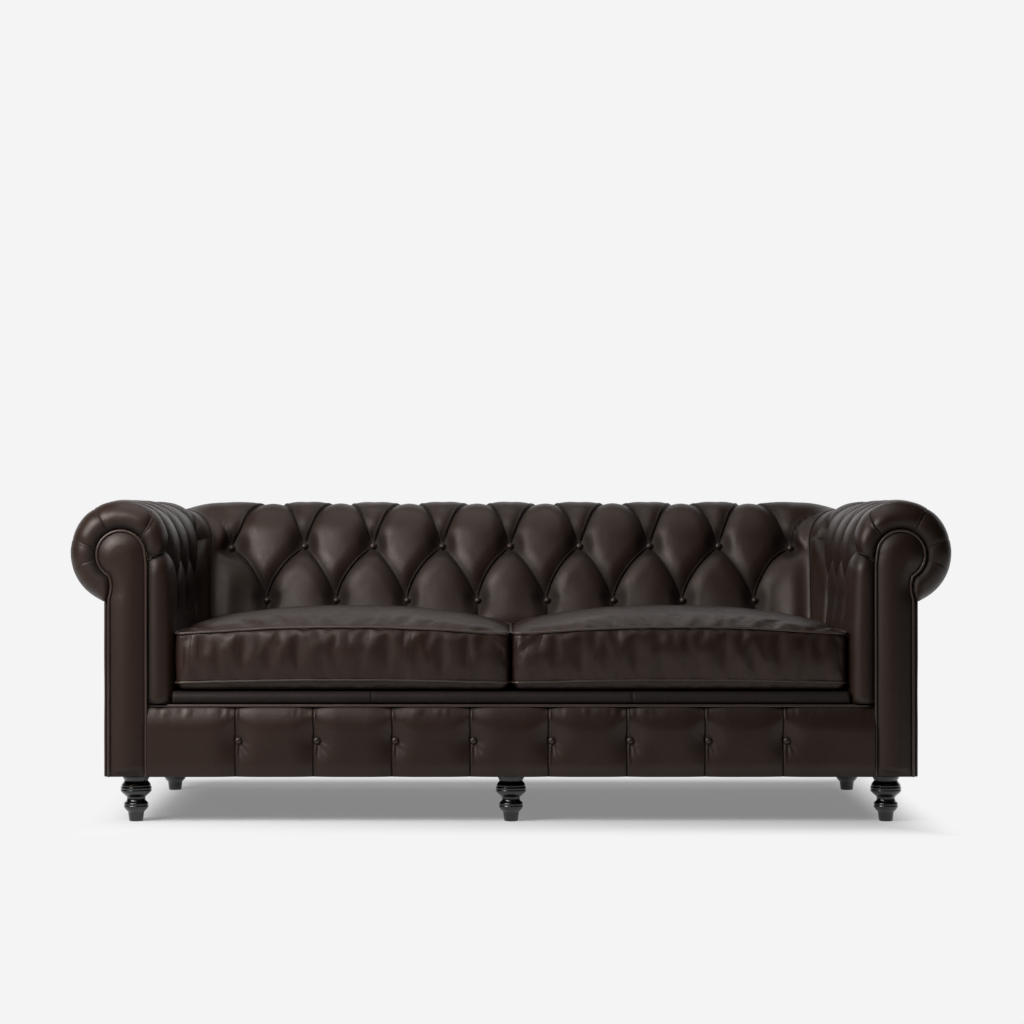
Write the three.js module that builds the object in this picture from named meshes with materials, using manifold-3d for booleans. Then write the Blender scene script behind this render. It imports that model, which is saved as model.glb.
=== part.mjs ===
// A deep-buttoned chesterfield sofa with two loose seat cushions.
// Lengths are in millimetres. X runs to the sitter's left as the sofa is seen from the front,
// Y runs to the back and Z runs up. The origin is on the floor under the middle of the sofa.
// Pieces named right and left are so as seen from the front.
import * as THREE from 'three';
import { mergeGeometries, mergeVertices } from 'three/addons/utils/BufferGeometryUtils.js';
import Module from 'manifold-3d';

const wasm = await Module();
wasm.setup();

// Overall sizes
const sofaWidth = 2200;
const sofaDepth = 950;
const sofaHeight = 800;
const fitGap = 0.3;
const mergeReach = fitGap / 100;

// Rolled arms and back
const rollRadius = 125;
const rollEndAngle = THREE.MathUtils.degToRad(250);
const rollX = sofaWidth / 2 - rollRadius;
const rollY = sofaDepth / 2 - rollRadius;
const rollZ = sofaHeight - rollRadius;
const frontY = -sofaDepth / 2;

// Turned feet
const footHeight = 118;
const footRadius = 38;
const footSides = 10;
const openingSides = 6;
const boltRadius = 5;
const boltLength = 46;
const footSideInset = 61;
const frontFootInset = 75;
const rearFootInset = 54.5;

// Timber frame
const dustCoverThickness = 1;
const bodyBottom = footHeight - dustCoverThickness;
const railThickness = 30;
const railTop = 280;
const sideRailDrop = 40;
const sideRailTop = railTop - sideRailDrop;
const blockHeight = 60;
const blockLength = 95;
const stretcherWidth = 70;
const postWidth = 45;
const centrePostThickness = 27;
const boardThickness = 12;
const coreDepth = 87;
const rollRailRadius = 41;
const rollRailRoom = 0.6;
const seatBackRailHeight = 80;
const outsidePadThickness = 8.7;
const outsideBackReach = 34.8;
const clothInset = 3.75;

// Springs and deck
const springCount = 7;
const springWire = 4;
const springAmplitude = 34;
const springPitch = 96;
const springEdge = 130;
const tieWireCount = 2;
const deckThickness = 45;
const deckBottom = railTop + springWire + 2 * fitGap;
const deckTop = deckBottom + deckThickness - 2 * fitGap;

// Cushions: the underside sags until it lies on the deck
const cushionSag = 21.7;
const cushionSideBottom = deckTop + fitGap + cushionSag;
const cushionBand = 123;
const cushionSideTop = cushionSideBottom + cushionBand;
const cushionArch = 16;
const cushionCrown = 38;
const cushionSideGap = 5;
const cushionMiddleGap = 2;
const cushionFrontInset = 9;
const cushionRearGap = 20;
const cushionSwell = 4;
const cushionCornerRadius = 26;
const cushionShell = 6;
const cushionPiping = 4;
const zipEndGap = 42.5;
const zipHeight = 12;
const zipRib = 3;
const zipRibHeight = 2;
const zipPullLength = 22;
const zipPullWidth = 8;
const sliderLength = 14;
const sliderWidth = 9;
const sliderThickness = 3.2;

// Inner faces of the padding
const paddingRise = 20;
const paddingBottom = railTop + paddingRise;
const seatLevelRise = 16;
const seatLevel = cushionSideTop + seatLevelRise;
const armFaceInset = 132;
const backFaceInset = 200;
const innerCornerRadius = 130;
const outerCornerRadius = 190;
const cornerEase = 32.5;

// Deep buttoning
const backUpperButtons = 9;
const backLastInset = 58.1;
const armUpperButtons = 4;
const armFirstInset = 95;
const armLastInset = 59;
const upperRowRise = 19;
const lowerRowRise = 55;
const pleatDepth = 20;
const buttonDepth = 22;
const pillowReach = 47;
const dimpleReach = 46;
const rollPleatShare = 0.549;
const seamDepth = 14;
const seamReach = 34;
const coverThickness = 47;
const coverRoom = 3.4;
const halfDiamondSteps = 3;

// Buttons and their ties
const buttonRadius = 9;
const buttonHeight = 6;
const buttonLift = 18;
const shankWidth = 3;
const tieWidth = 8;
const tieThickness = 1.8;
const holeClearance = 0.5;

// Scroll-shaped arm facings
const facingInnerReach = 70;
const facingOuterReach = 29;
const facingInnerX = rollX - facingInnerReach;
const facingOuterX = rollX + facingOuterReach;
const facingHeadShift = 4;
const facingHeadX = rollX - facingHeadShift;
const facingHeadDrop = 5;
const facingHeadZ = rollZ - facingHeadDrop;
const facingHeadRadius = 63;
const facingNeckInset = 12;
const facingNeckX = facingOuterX - facingNeckInset;
const facingNeckDrop = 74;
const facingNeckZ = facingHeadZ - facingNeckDrop;
const facingShoulderDrop = 110;
const facingShoulderZ = facingHeadZ - facingShoulderDrop;
const facingHeadEnd = THREE.MathUtils.degToRad(-60);
const facingWrapAngle = THREE.MathUtils.degToRad(222);
const facingBoardThickness = 18;
const boardInset = 14;
const coverTuck = 5;
const facingPadThickness = 5;
const pipingRadius = 4;
const pipingRoom = 2;
const frontRounding = 50;
const coverLip = 3;
const outsideTopDrop = 4;
const outsideTop = facingShoulderZ - outsideTopDrop;

// Front border
const borderButtons = 8;
const borderEndPanel = 222.2;
const borderButtonRise = 90;
const borderRelief = 8;
const borderSeamDepth = 4;
const borderPadding = 15;
const borderRise = 10;

// Cushions lie inside the padding
const cushionFrontY = frontY + cushionFrontInset;
const cushionRearY = rollY - backFaceInset - cushionRearGap;
const cushionRearCornerRadius = innerCornerRadius - cushionSideGap;

const leatherColour = 0x2e2624;
const pipingColour = 0x241c1a;
const foamColour = 0xd9c27a;
const timberColour = 0xb58a55;
const plyColour = 0xc29b66;
const steelColour = 0x8f9296;
const clothColour = 0x16161a;
const lacquerColour = 0x0d0c0c;

// Turns a closed geometry into a solid that can be joined and cut
function toSolid(geometry) {
  const bare = geometry.clone();
  bare.deleteAttribute('normal');
  bare.deleteAttribute('uv');
  const merged = mergeVertices(bare, mergeReach);
  const mesh = new wasm.Mesh({
    numProp: 3,
    vertProperties: Float32Array.from(merged.attributes.position.array),
    triVerts: Uint32Array.from(merged.index.array),
  });
  mesh.merge();
  return new wasm.Manifold(mesh);
}

// Turns a joined or cut solid back into a geometry
function toGeometry(solid) {
  const mesh = solid.getMesh();
  const geometry = new THREE.BufferGeometry();
  geometry.setAttribute('position', new THREE.BufferAttribute(mesh.vertProperties, 3));
  geometry.setIndex(new THREE.BufferAttribute(mesh.triVerts, 1));
  geometry.computeVertexNormals();
  return geometry;
}

function joined(geometries) {
  return toGeometry(geometries.map(toSolid).reduce((whole, piece) => whole.add(piece)));
}

function cut(geometry, cutters) {
  return toGeometry(cutters.map(toSolid).reduce((whole, piece) => whole.subtract(piece), toSolid(geometry)));
}

// A box given by its two opposite corners
function slab(minX, maxX, minY, maxY, minZ, maxZ) {
  const geometry = new THREE.BoxGeometry(maxX - minX, maxY - minY, maxZ - minZ);
  geometry.translate((minX + maxX) / 2, (minY + maxY) / 2, (minZ + maxZ) / 2);
  return geometry;
}

// Six times the volume of a closed triangle list, negative when its faces point in
function signedVolume(positions, indices) {
  let total = 0;
  for (let corner = 0; corner < indices.length; corner += 3) {
    const a = positions[indices[corner]];
    const b = positions[indices[corner + 1]];
    const c = positions[indices[corner + 2]];
    total += a.dot(new THREE.Vector3().crossVectors(b, c));
  }
  return total;
}

// Joins closed loops of equal point counts into a solid. capFaces are the triangles that close a
// loop, and leansBack picks the diagonal of each side face.
function loft(loops, capFaces, leansBack = () => false) {
  const count = loops[0].length;
  const positions = loops.flat();
  const indices = [];
  for (let ring = 0; ring < loops.length - 1; ring += 1) {
    for (let point = 0; point < count; point += 1) {
      const next = (point + 1) % count;
      const a = ring * count + point;
      const b = ring * count + next;
      const c = (ring + 1) * count + next;
      const d = (ring + 1) * count + point;
      if (leansBack(ring, point)) {
        indices.push(a, b, d, b, c, d);
      } else {
        indices.push(a, b, c, a, c, d);
      }
    }
  }
  const lastRing = (loops.length - 1) * count;
  for (const [a, b, c] of capFaces) {
    indices.push(c, b, a);
    indices.push(lastRing + a, lastRing + b, lastRing + c);
  }
  return closedGeometry(positions, indices);
}

// Cap triangles of a loop that runs along an outer row and comes back along an inner row
function stripCap(outerShares, innerShares) {
  const outerCount = outerShares.length;
  const innerAt = (index) => outerCount + innerShares.length - 1 - index;
  const faces = [];
  let outer = 0;
  let inner = 0;
  while (outer < outerCount - 1 || inner < innerShares.length - 1) {
    const nextOuter = outerShares[outer + 1] ?? Infinity;
    const nextInner = innerShares[inner + 1] ?? Infinity;
    if (nextOuter <= nextInner) {
      faces.push([outer, outer + 1, innerAt(inner)]);
      outer += 1;
    } else {
      faces.push([outer, innerAt(inner + 1), innerAt(inner)]);
      inner += 1;
    }
  }
  return faces;
}

// Cap triangles of a rounded loop, all from its first point
function fanCap(count) {
  return Array.from({ length: count - 2 }, (unused, point) => [0, point + 1, point + 2]);
}

const squareSides = 4;
const squareCap = fanCap(squareSides);

function closedGeometry(positions, indices) {
  const outward = signedVolume(positions, indices) > 0 ? indices : [...indices].reverse();
  const geometry = new THREE.BufferGeometry().setFromPoints(positions);
  geometry.setIndex(outward);
  geometry.computeVertexNormals();
  return geometry;
}

// The same piece on the other side of the sofa
function mirrored(geometry) {
  const copy = geometry.clone();
  const points = copy.attributes.position;
  for (let index = 0; index < points.count; index += 1) {
    points.setX(index, -points.getX(index));
  }
  if (copy.index === null) {
    copy.setIndex(Array.from({ length: points.count }, (unused, index) => index));
  }
  copy.setIndex(Array.from(copy.index.array).reverse());
  copy.computeVertexNormals();
  return copy;
}

const mix = THREE.MathUtils.lerp;

// The section of the arm or the back, seen along its length. Offsets run outward from the middle
// of the roll. A section has three legs: upright behind the cushion, leaning, and round the roll.
function makeSection(faceInset) {
  const rise = rollZ - seatLevel;
  const reach = Math.hypot(faceInset, rise);
  const lean = Math.atan2(rise, faceInset) + Math.asin(rollRadius / reach);
  const leanLength = Math.sqrt(reach ** 2 - rollRadius ** 2);
  const rollStart = Math.PI / 2 - lean;
  const legs = [seatLevel - paddingBottom, leanLength, rollRadius * (rollEndAngle - rollStart)];
  return { faceInset, lean, legs, rollStart };
}

const armSection = makeSection(armFaceInset);
const backSection = makeSection(backFaceInset);

// A point of a section at a station from 0 to 3, one leg to each whole number, and raised by height
function sectionPoint(section, station, height) {
  const leg = Math.min(2, Math.floor(station));
  const along = (station - leg) * section.legs[leg];
  if (leg === 0) {
    return [-section.faceInset - height, paddingBottom + along];
  }
  if (leg === 1) {
    const alongX = Math.cos(section.lean);
    const alongZ = Math.sin(section.lean);
    return [
      -section.faceInset + along * alongX - height * alongZ,
      seatLevel + along * alongZ + height * alongX,
    ];
  }
  const angle = section.rollStart + along / rollRadius;
  const radius = rollRadius + height;
  return [-radius * Math.cos(angle), rollZ + radius * Math.sin(angle)];
}

function lengthAt(section, station) {
  const leg = Math.min(2, Math.floor(station));
  const before = section.legs.slice(0, leg).reduce((sum, length) => sum + length, 0);
  return before + (station - leg) * section.legs[leg];
}

function stationAt(section, length) {
  let left = length;
  let leg = 0;
  while (leg < 2 && left > section.legs[leg]) {
    left -= section.legs[leg];
    leg += 1;
  }
  return leg + left / section.legs[leg];
}

// Length along a section up to a height on its leaning leg or on the front of its roll
function lengthAtHeight(section, height) {
  const leanTop = seatLevel + section.legs[1] * Math.sin(section.lean);
  if (height <= leanTop) {
    return section.legs[0] + (height - seatLevel) / Math.sin(section.lean);
  }
  const angle = Math.asin((height - rollZ) / rollRadius);
  return section.legs[0] + section.legs[1] + rollRadius * (angle - section.rollStart);
}

// Where the arm and the back leave their straight runs, and where they meet at the mitre
const cornerTurn = Math.PI / 4;
const mitreArc = innerCornerRadius * cornerTurn;
const backCornerStart = rollX - armFaceInset - outerCornerRadius + rollRadius / 2;
const armCornerStart = rollY - backFaceInset - innerCornerRadius - cornerEase;
const backMitre = rollX - rollRadius - innerCornerRadius + mitreArc;
const armMitre = rollY - rollRadius - innerCornerRadius + mitreArc;

function cornerRadius(armOffset, backOffset) {
  const outward = (armOffset + backOffset) / 2 + rollRadius;
  const share = THREE.MathUtils.clamp(outward / (2 * rollRadius), 0, 1);
  return mix(innerCornerRadius, outerCornerRadius, share);
}

// Walks an offset line from its straight run round the corner, to a share of the way to the mitre
function cornerWalk(own, other, start, share) {
  const radius = own.radius;
  const straight = other.middle + other.offset - radius - start;
  const walked = share * (straight + radius * cornerTurn);
  if (walked < straight) {
    return [start + walked, own.middle + own.offset];
  }
  const turned = (walked - straight) / radius;
  return [
    other.middle + other.offset - radius + radius * Math.sin(turned),
    own.middle + own.offset - radius + radius * Math.cos(turned),
  ];
}

// How much of the back's section shows at a run along the arm or the back
function backWeight(part, run) {
  if (part === 'arm') {
    return THREE.MathUtils.smoothstep(run, armCornerStart, armMitre) / 2;
  }
  return 1 - THREE.MathUtils.smoothstep(Math.abs(run), backCornerStart, backMitre) / 2;
}

// A point on the padding: part is 'arm' or 'back', run goes along it, station goes over it
function paddingPoint(part, run, station, height) {
  const [armOffset, armZ] = sectionPoint(armSection, station, height);
  const [backOffset, backZ] = sectionPoint(backSection, station, height);
  const z = mix(armZ, backZ, backWeight(part, run));
  return placeOffsets(part, run, armOffset, backOffset, z);
}

function placeOffsets(part, run, armOffset, backOffset, z) {
  const radius = cornerRadius(armOffset, backOffset);
  const arm = { middle: rollX, offset: armOffset, radius };
  const back = { middle: rollY, offset: backOffset, radius };
  if (part === 'arm') {
    if (run <= armCornerStart) {
      return new THREE.Vector3(rollX + armOffset, run, z);
    }
    const share = (run - armCornerStart) / (armMitre - armCornerStart);
    const [y, x] = cornerWalk(arm, back, armCornerStart, share);
    return new THREE.Vector3(x, y, z);
  }
  const side = Math.sign(run);
  const distance = Math.abs(run);
  if (distance <= backCornerStart) {
    return new THREE.Vector3(run, rollY + backOffset, z);
  }
  const share = (distance - backCornerStart) / (backMitre - backCornerStart);
  const [x, y] = cornerWalk(back, arm, backCornerStart, share);
  return new THREE.Vector3(side * x, y, z);
}

// Pleats and buttons of the arm and the back, laid flat as run and length over the section
function makeTufting(section, pitch, upperRuns, frontRun) {
  const upper = lengthAtHeight(section, rollZ + upperRowRise);
  const lower = lengthAtHeight(section, seatLevel + lowerRowRise);
  const end = lengthAt(section, 3);
  const meeting = mix(upper, end, rollPleatShare);
  const half = pitch / 2;
  const buttons = [];
  const pleats = [];
  upperRuns.forEach((run, index) => {
    buttons.push([run, upper]);
    for (const side of [-1, 1]) {
      pleats.push([run, upper, run + side * half, meeting]);
      pleats.push([run + side * half, meeting, run + side * half, end]);
    }
    if (index < upperRuns.length - 1) {
      buttons.push([run + half, lower]);
      pleats.push([run, upper, run + half, lower]);
      pleats.push([run + pitch, upper, run + half, lower]);
      pleats.push([run + half, lower, run + half, 0]);
    }
  });
  const first = upperRuns[0];
  const last = upperRuns[upperRuns.length - 1];
  pleats.push([first, upper, frontRun ?? first - half, upper]);
  pleats.push([last, upper, last + half, upper]);
  return { section, buttons, pleats, upper, lower, meeting, end, half };
}

function spanDistance(run, length, [runA, lengthA, runB, lengthB]) {
  const alongRun = runB - runA;
  const alongLength = lengthB - lengthA;
  const whole = alongRun ** 2 + alongLength ** 2;
  const share = ((run - runA) * alongRun + (length - lengthA) * alongLength) / whole;
  const held = THREE.MathUtils.clamp(share, 0, 1);
  return Math.hypot(run - runA - held * alongRun, length - lengthA - held * alongLength);
}

// How far the leather lies below its fullest height at one place
function tuftHeight(tufting, run, length, toMitre) {
  const fromPleat = Math.min(...tufting.pleats.map((pleat) => spanDistance(run, length, pleat)));
  const fromButton = Math.min(...tufting.buttons.map(([buttonRun, buttonLength]) => (
    Math.hypot(run - buttonRun, length - buttonLength))));
  const rise = Math.sin(Math.min(1, fromPleat / pillowReach) * Math.PI / 2);
  const dimple = buttonDepth * Math.exp(-((fromButton / dimpleReach) ** 2));
  const pattern = -(pleatDepth + dimple) * (1 - rise);
  const seam = Math.exp(-((toMitre / seamReach) ** 2));
  return mix(pattern, -seamDepth, seam);
}

const backButtonPitch = 2 * (backMitre - backLastInset) / (backUpperButtons - 1);
const armButtonPitch = (armMitre - armLastInset - frontY - armFirstInset) / (armUpperButtons - 1);
const backUpperRuns = Array.from({ length: backUpperButtons }, (unused, index) => (
  (index - (backUpperButtons - 1) / 2) * backButtonPitch));
const armUpperRuns = Array.from({ length: armUpperButtons }, (unused, index) => (
  frontY + armFirstInset + index * armButtonPitch));
const backTufting = makeTufting(backSection, backButtonPitch, backUpperRuns);
const armTufting = makeTufting(armSection, armButtonPitch, armUpperRuns, frontY);

// Rows over the section that carry the tufting, as stations
function tuftingRows(tufting) {
  const { section, upper, lower, meeting, end } = tufting;
  const bend = section.legs[0];
  const lengths = [0, bend / 2, bend];
  for (let step = 0; step <= halfDiamondSteps; step += 1) {
    lengths.push(mix(lower, upper, step / halfDiamondSteps));
  }
  for (let step = 1; step <= 2 * halfDiamondSteps; step += 1) {
    lengths.push(mix(upper, meeting, step / (2 * halfDiamondSteps)));
  }
  lengths.push(mix(meeting, end, 0.5), end);
  return lengths.map((length) => stationAt(section, length));
}

const armRows = tuftingRows(armTufting);
const backRows = tuftingRows(backTufting);
const smoothStationShares = [0, 1, 2, 2.25, 2.5, 2.75, 3];
const rowCount = armRows.length;

// Past its last button each piece brings its rows half way to the other's, so they meet at the mitre
function outerStations(part, run) {
  const [last, mitre] = part === 'arm' ? [armUpperRuns.at(-1), armMitre] : [backUpperRuns.at(-1), backMitre];
  const distance = part === 'arm' ? run : Math.abs(run);
  const share = THREE.MathUtils.clamp((distance - last) / (mitre - last), 0, 1) / 2;
  const [own, other] = part === 'arm' ? [armRows, backRows] : [backRows, armRows];
  return own.map((station, row) => mix(station, other[row], share));
}

// A point on the arm's front edge, where the cover comes round to the facing
function facingEdge(station, spread) {
  const [offset, z] = sectionPoint(armSection, Math.min(station, 2), 0);
  if (station <= 2) {
    const lift = Math.min(z, facingHeadZ);
    return [facingInnerX - spread, lift];
  }
  const share = (station - 2) * armSection.legs[2] / rollRadius / (rollEndAngle - armSection.rollStart);
  const angle = share * facingWrapAngle;
  const radius = facingHeadRadius + spread;
  return [facingHeadX - radius * Math.cos(angle), facingHeadZ + radius * Math.sin(angle)];
}

function coverLoop(part, run) {
  const tufting = part === 'arm' ? armTufting : backTufting;
  const toMitre = part === 'arm' ? armMitre - run : backMitre - Math.abs(run);
  const outer = outerStations(part, run).map((station) => {
    const length = lengthAt(tufting.section, station);
    return paddingPoint(part, run, station, tuftHeight(tufting, run, length, toMitre));
  });
  const inner = smoothStationShares.map((station) => paddingPoint(part, run, station, -coverThickness));
  return [...outer, ...inner.reverse()];
}

// The arm cover's loops where it rounds in to the facing; turn goes from 0 at full to 1 at the facing
function frontLoop(turn) {
  const angle = turn * Math.PI / 2;
  const startY = frontY + facingPadThickness + fitGap + coverLip + frontRounding;
  const y = startY - frontRounding * Math.sin(angle);
  const full = coverLoop('arm', startY);
  const outer = armRows.map((station, row) => {
    const [edgeX, edgeZ] = facingEdge(station, coverLip);
    const shrink = Math.cos(angle);
    return new THREE.Vector3(mix(edgeX, full[row].x, shrink), y, mix(edgeZ, full[row].z, shrink));
  });
  const inner = smoothStationShares.map((station) => {
    const [edgeX, edgeZ] = facingEdge(station, -coverTuck);
    return new THREE.Vector3(edgeX, y, edgeZ);
  });
  return [...outer, ...inner.reverse()];
}

function diamondDiagonal(part, runs) {
  const { half } = part === 'arm' ? armTufting : backTufting;
  const first = part === 'arm' ? armUpperRuns[0] : backUpperRuns[0];
  return (ring, point) => {
    const middle = ((runs[ring] ?? frontY) + (runs[ring + 1] ?? frontY)) / 2;
    const falls = Math.floor((middle - first) / half) % 2 === 0;
    const aboveUpper = point >= 2 + halfDiamondSteps + 1;
    return aboveUpper ? falls : !falls;
  };
}

const mitreGap = 2 * fitGap;
const backStep = backButtonPitch / 2 / halfDiamondSteps;
const armStep = armButtonPitch / 2 / halfDiamondSteps;

function backRuns() {
  const edge = backMitre - mitreGap;
  const last = backUpperRuns[backUpperButtons - 1];
  const runs = [-edge, -mix(last, edge, 0.5)];
  const steps = (backUpperButtons - 1) * 2 * halfDiamondSteps;
  for (let step = 0; step <= steps; step += 1) {
    runs.push(-last + step * backStep);
  }
  runs.push(mix(last, edge, 0.5), edge);
  return runs;
}

function armRuns() {
  const edge = armMitre - mitreGap;
  const last = armUpperRuns[armUpperButtons - 1];
  const runs = [];
  const steps = (armUpperButtons - 1) * 2 * halfDiamondSteps;
  for (let step = 0; step <= steps; step += 1) {
    runs.push(armUpperRuns[0] + step * armStep);
  }
  runs.push(mix(last, edge, 0.5), edge);
  return runs;
}

const backRunList = backRuns();
const armRunList = armRuns();
const backCornerRuns = [backCornerStart, ...backRunList.filter((run) => run > backCornerStart)];
const armCornerRuns = [armCornerStart, ...armRunList.filter((run) => run > armCornerStart)];

const coverCap = stripCap(armRows, smoothStationShares);

// A point on the smooth, many-sided surface under the leather
function smoothPoint(part, run, station, height) {
  const last = smoothStationShares.length - 2;
  const found = smoothStationShares.findIndex((stop, index) => station < (smoothStationShares[index + 1] ?? 0));
  const index = found < 0 ? last : found;
  const [from, to] = smoothStationShares.slice(index, index + 2);
  const low = paddingPoint(part, run, from, height);
  const high = paddingPoint(part, run, to, height);
  const share = (station - from) / (to - from);
  return low.lerp(high, share);
}

// Buttons stand on the leather at the bottom of their dimples, on a shank that passes through it
function paddingFrame(part, tufting, run, length, height) {
  const station = stationAt(tufting.section, length);
  const here = paddingPoint(part, run, station, height);
  const tied = smoothPoint(part, run, station, tieHeight);
  const out = here.clone().sub(tied);
  const reach = out.length();
  return { here, out: out.normalize(), reach };
}

const buttonShares = [[0, 0], [1, 0], [0.78, 0.75], [0, 1]];
const buttonSides = 8;

function turned(shares, radius, height, sides) {
  const points = shares.map(([across, up]) => new THREE.Vector2(across * radius, up * height));
  const geometry = new THREE.LatheGeometry(points, sides);
  geometry.rotateX(Math.PI / 2);
  return geometry;
}

function standAt(geometry, here, out) {
  const turn = new THREE.Quaternion().setFromUnitVectors(new THREE.Vector3(0, 0, 1), out);
  return geometry.clone().applyQuaternion(turn).translate(here.x, here.y, here.z);
}

const buttonSinking = pleatDepth + buttonDepth;
const tieHeight = -coverThickness - coverRoom / 2;

function paddingButtons(part, tufting) {
  const pieces = [];
  for (const [run, length] of tufting.buttons) {
    const { here, out, reach } = paddingFrame(part, tufting, run, length, buttonLift - buttonSinking);
    pieces.push(standAt(turned(buttonShares, buttonRadius, buttonHeight, buttonSides), here, out));
    const shank = new THREE.BoxGeometry(shankWidth, shankWidth, reach + buttonHeight / 2);
    shank.translate(0, 0, (buttonHeight / 2 - reach) / 2);
    pieces.push(standAt(shank, here, out));
  }
  for (const row of [tufting.upper, tufting.lower]) {
    const runs = tufting.buttons.filter((button) => button[1] === row).map((button) => button[0]);
    pieces.push(tieBand(part, tufting, runs, row));
  }
  const joins = tufting.buttons.filter((button) => Math.abs(button[0] - middleRun(tufting)) < tufting.half);
  pieces.push(crossTie(part, tufting, joins[0][0]));
  return joined(pieces);
}

function middleRun(tufting) {
  const runs = tufting.buttons.map((button) => button[0]);
  return (Math.min(...runs) + Math.max(...runs)) / 2;
}

// A flat tape under the leather that links the shanks of one row
function tieBand(part, tufting, runs, row) {
  const first = Math.min(...runs);
  const last = Math.max(...runs);
  const turns = part === 'arm' ? armCornerRuns : [...backCornerRuns, ...backCornerRuns.map((run) => -run)];
  const between = turns.filter((run) => run > first && run < last).sort((a, b) => a - b);
  const stops = [first - tieWidth / 2, ...between, last + tieWidth / 2];
  const loops = stops.map((run) => tieLoop(part, tufting, run, row - tieWidth / 2, row + tieWidth / 2));
  return loft(loops, squareCap);
}

function tieLoop(part, tufting, run, low, high) {
  const heights = [tieHeight - tieThickness / 2, tieHeight + tieThickness / 2];
  return [[low, heights[0]], [high, heights[0]], [high, heights[1]], [low, heights[1]]].map(
    ([length, height]) => smoothPoint(part, run, stationAt(tufting.section, length), height));
}

function crossTie(part, tufting, run) {
  const stops = [tufting.lower, tufting.section.legs[0] + tufting.section.legs[1], tufting.upper];
  const ordered = [...stops].sort((a, b) => a - b).filter((stop) => stop <= tufting.upper);
  const loops = ordered.map((length) => [
    [run - tieWidth / 2, -tieThickness / 2],
    [run + tieWidth / 2, -tieThickness / 2],
    [run + tieWidth / 2, tieThickness / 2],
    [run - tieWidth / 2, tieThickness / 2],
  ].map(([place, lift]) => smoothPoint(part, place, stationAt(tufting.section, length), tieHeight + lift)));
  return loft(loops, squareCap);
}

function shankHoles(part, tufting) {
  const width = shankWidth + 2 * holeClearance;
  return tufting.buttons.map(([run, length]) => {
    const { here, out, reach } = paddingFrame(part, tufting, run, length, buttonLift - buttonSinking);
    return standAt(new THREE.BoxGeometry(width, width, 2 * reach), here, out);
  });
}

const backLoops = backRunList.map((run) => coverLoop('back', run));
const backCover = cut(
  loft(backLoops, coverCap, diamondDiagonal('back', backRunList)),
  shankHoles('back', backTufting),
);

const boardRearY = frontY + facingPadThickness + 2 * fitGap + facingBoardThickness;
const startRun = frontY + facingPadThickness + fitGap + coverLip + frontRounding;
const boardTurn = Math.asin((startRun - boardRearY - fitGap) / frontRounding) / (Math.PI / 2);
const frontTurns = [1, mix(boardTurn, 1, 0.5), boardTurn];
const frontLoops = frontTurns.map(frontLoop);
const armLoops = [...frontLoops, ...[startRun, ...armRunList].map((run) => coverLoop('arm', run))];
const armLoopRuns = [...frontTurns.map(() => frontY), startRun, ...armRunList];
const armCover = cut(
  loft(armLoops, coverCap, diamondDiagonal('arm', armLoopRuns)),
  shankHoles('arm', armTufting),
);

// Foam between the cover and the frame, and the rails that shape the roll. The inner side of
// the foam stands off the boards and the round rails by spread.
const smoothTurn = armSection.legs[2] / rollRadius * (smoothStationShares[3] - smoothStationShares[2]);

function coreOffsets(section, station, spread) {
  if (station < 1) {
    return [coreDepth - section.faceInset - spread, mix(paddingBottom, seatLevel, station)];
  }
  if (station < 2) {
    const low = [coreDepth - section.faceInset - spread, seatLevel];
    const high = coreOffsets(section, 2, spread);
    return [mix(low[0], high[0], station - 1), mix(low[1], high[1], station - 1)];
  }
  const angle = section.rollStart + (station - 2) * section.legs[2] / rollRadius;
  const radius = (rollRailRadius + rollRailRoom + spread) / Math.cos(smoothTurn / 2);
  return [-radius * Math.cos(angle), rollZ + radius * Math.sin(angle)];
}

function corePoint(part, run, station, spread) {
  const [armOffset, armZ] = coreOffsets(armSection, station, spread);
  const [backOffset, backZ] = coreOffsets(backSection, station, spread);
  return placeOffsets(part, run, armOffset, backOffset, mix(armZ, backZ, backWeight(part, run)));
}

function foamLoop(part, run) {
  const outerDepth = -coverThickness - coverRoom;
  const outer = smoothStationShares.map((station) => paddingPoint(part, run, station, outerDepth));
  const inner = smoothStationShares.map((station) => corePoint(part, run, station, fitGap));
  return [...outer, ...inner.reverse()];
}

const foamCap = stripCap(smoothStationShares, smoothStationShares);

const backSweepRuns = [...backCornerRuns.map((run) => -run).reverse(), ...backCornerRuns];
const backFoam = loft(backSweepRuns.map((run) => foamLoop('back', run)), foamCap);
const armFoam = loft([startRun, ...armCornerRuns].map((run) => foamLoop('arm', run)), foamCap);

// Buttons of the back and of one arm
const backButtons = paddingButtons('back', backTufting);
const armButtons = paddingButtons('arm', armTufting);

// Rails inside the rolls, swept along the same lines
const rollRailSides = 12;

function rollRailLoop(part, run) {
  return Array.from({ length: rollRailSides }, (unused, side) => {
    const angle = (side + 0.5) * 2 * Math.PI / rollRailSides;
    const offset = rollRailRadius * Math.cos(angle);
    return placeOffsets(part, run, offset, offset, rollZ + rollRailRadius * Math.sin(angle));
  });
}

const roundCap = fanCap(rollRailSides);
const backRollRail = loft(backSweepRuns.map((run) => rollRailLoop('back', run)), roundCap);
const armRollRail = loft(
  [boardRearY + fitGap, ...armCornerRuns].map((run) => rollRailLoop('arm', run)),
  roundCap,
);

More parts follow.
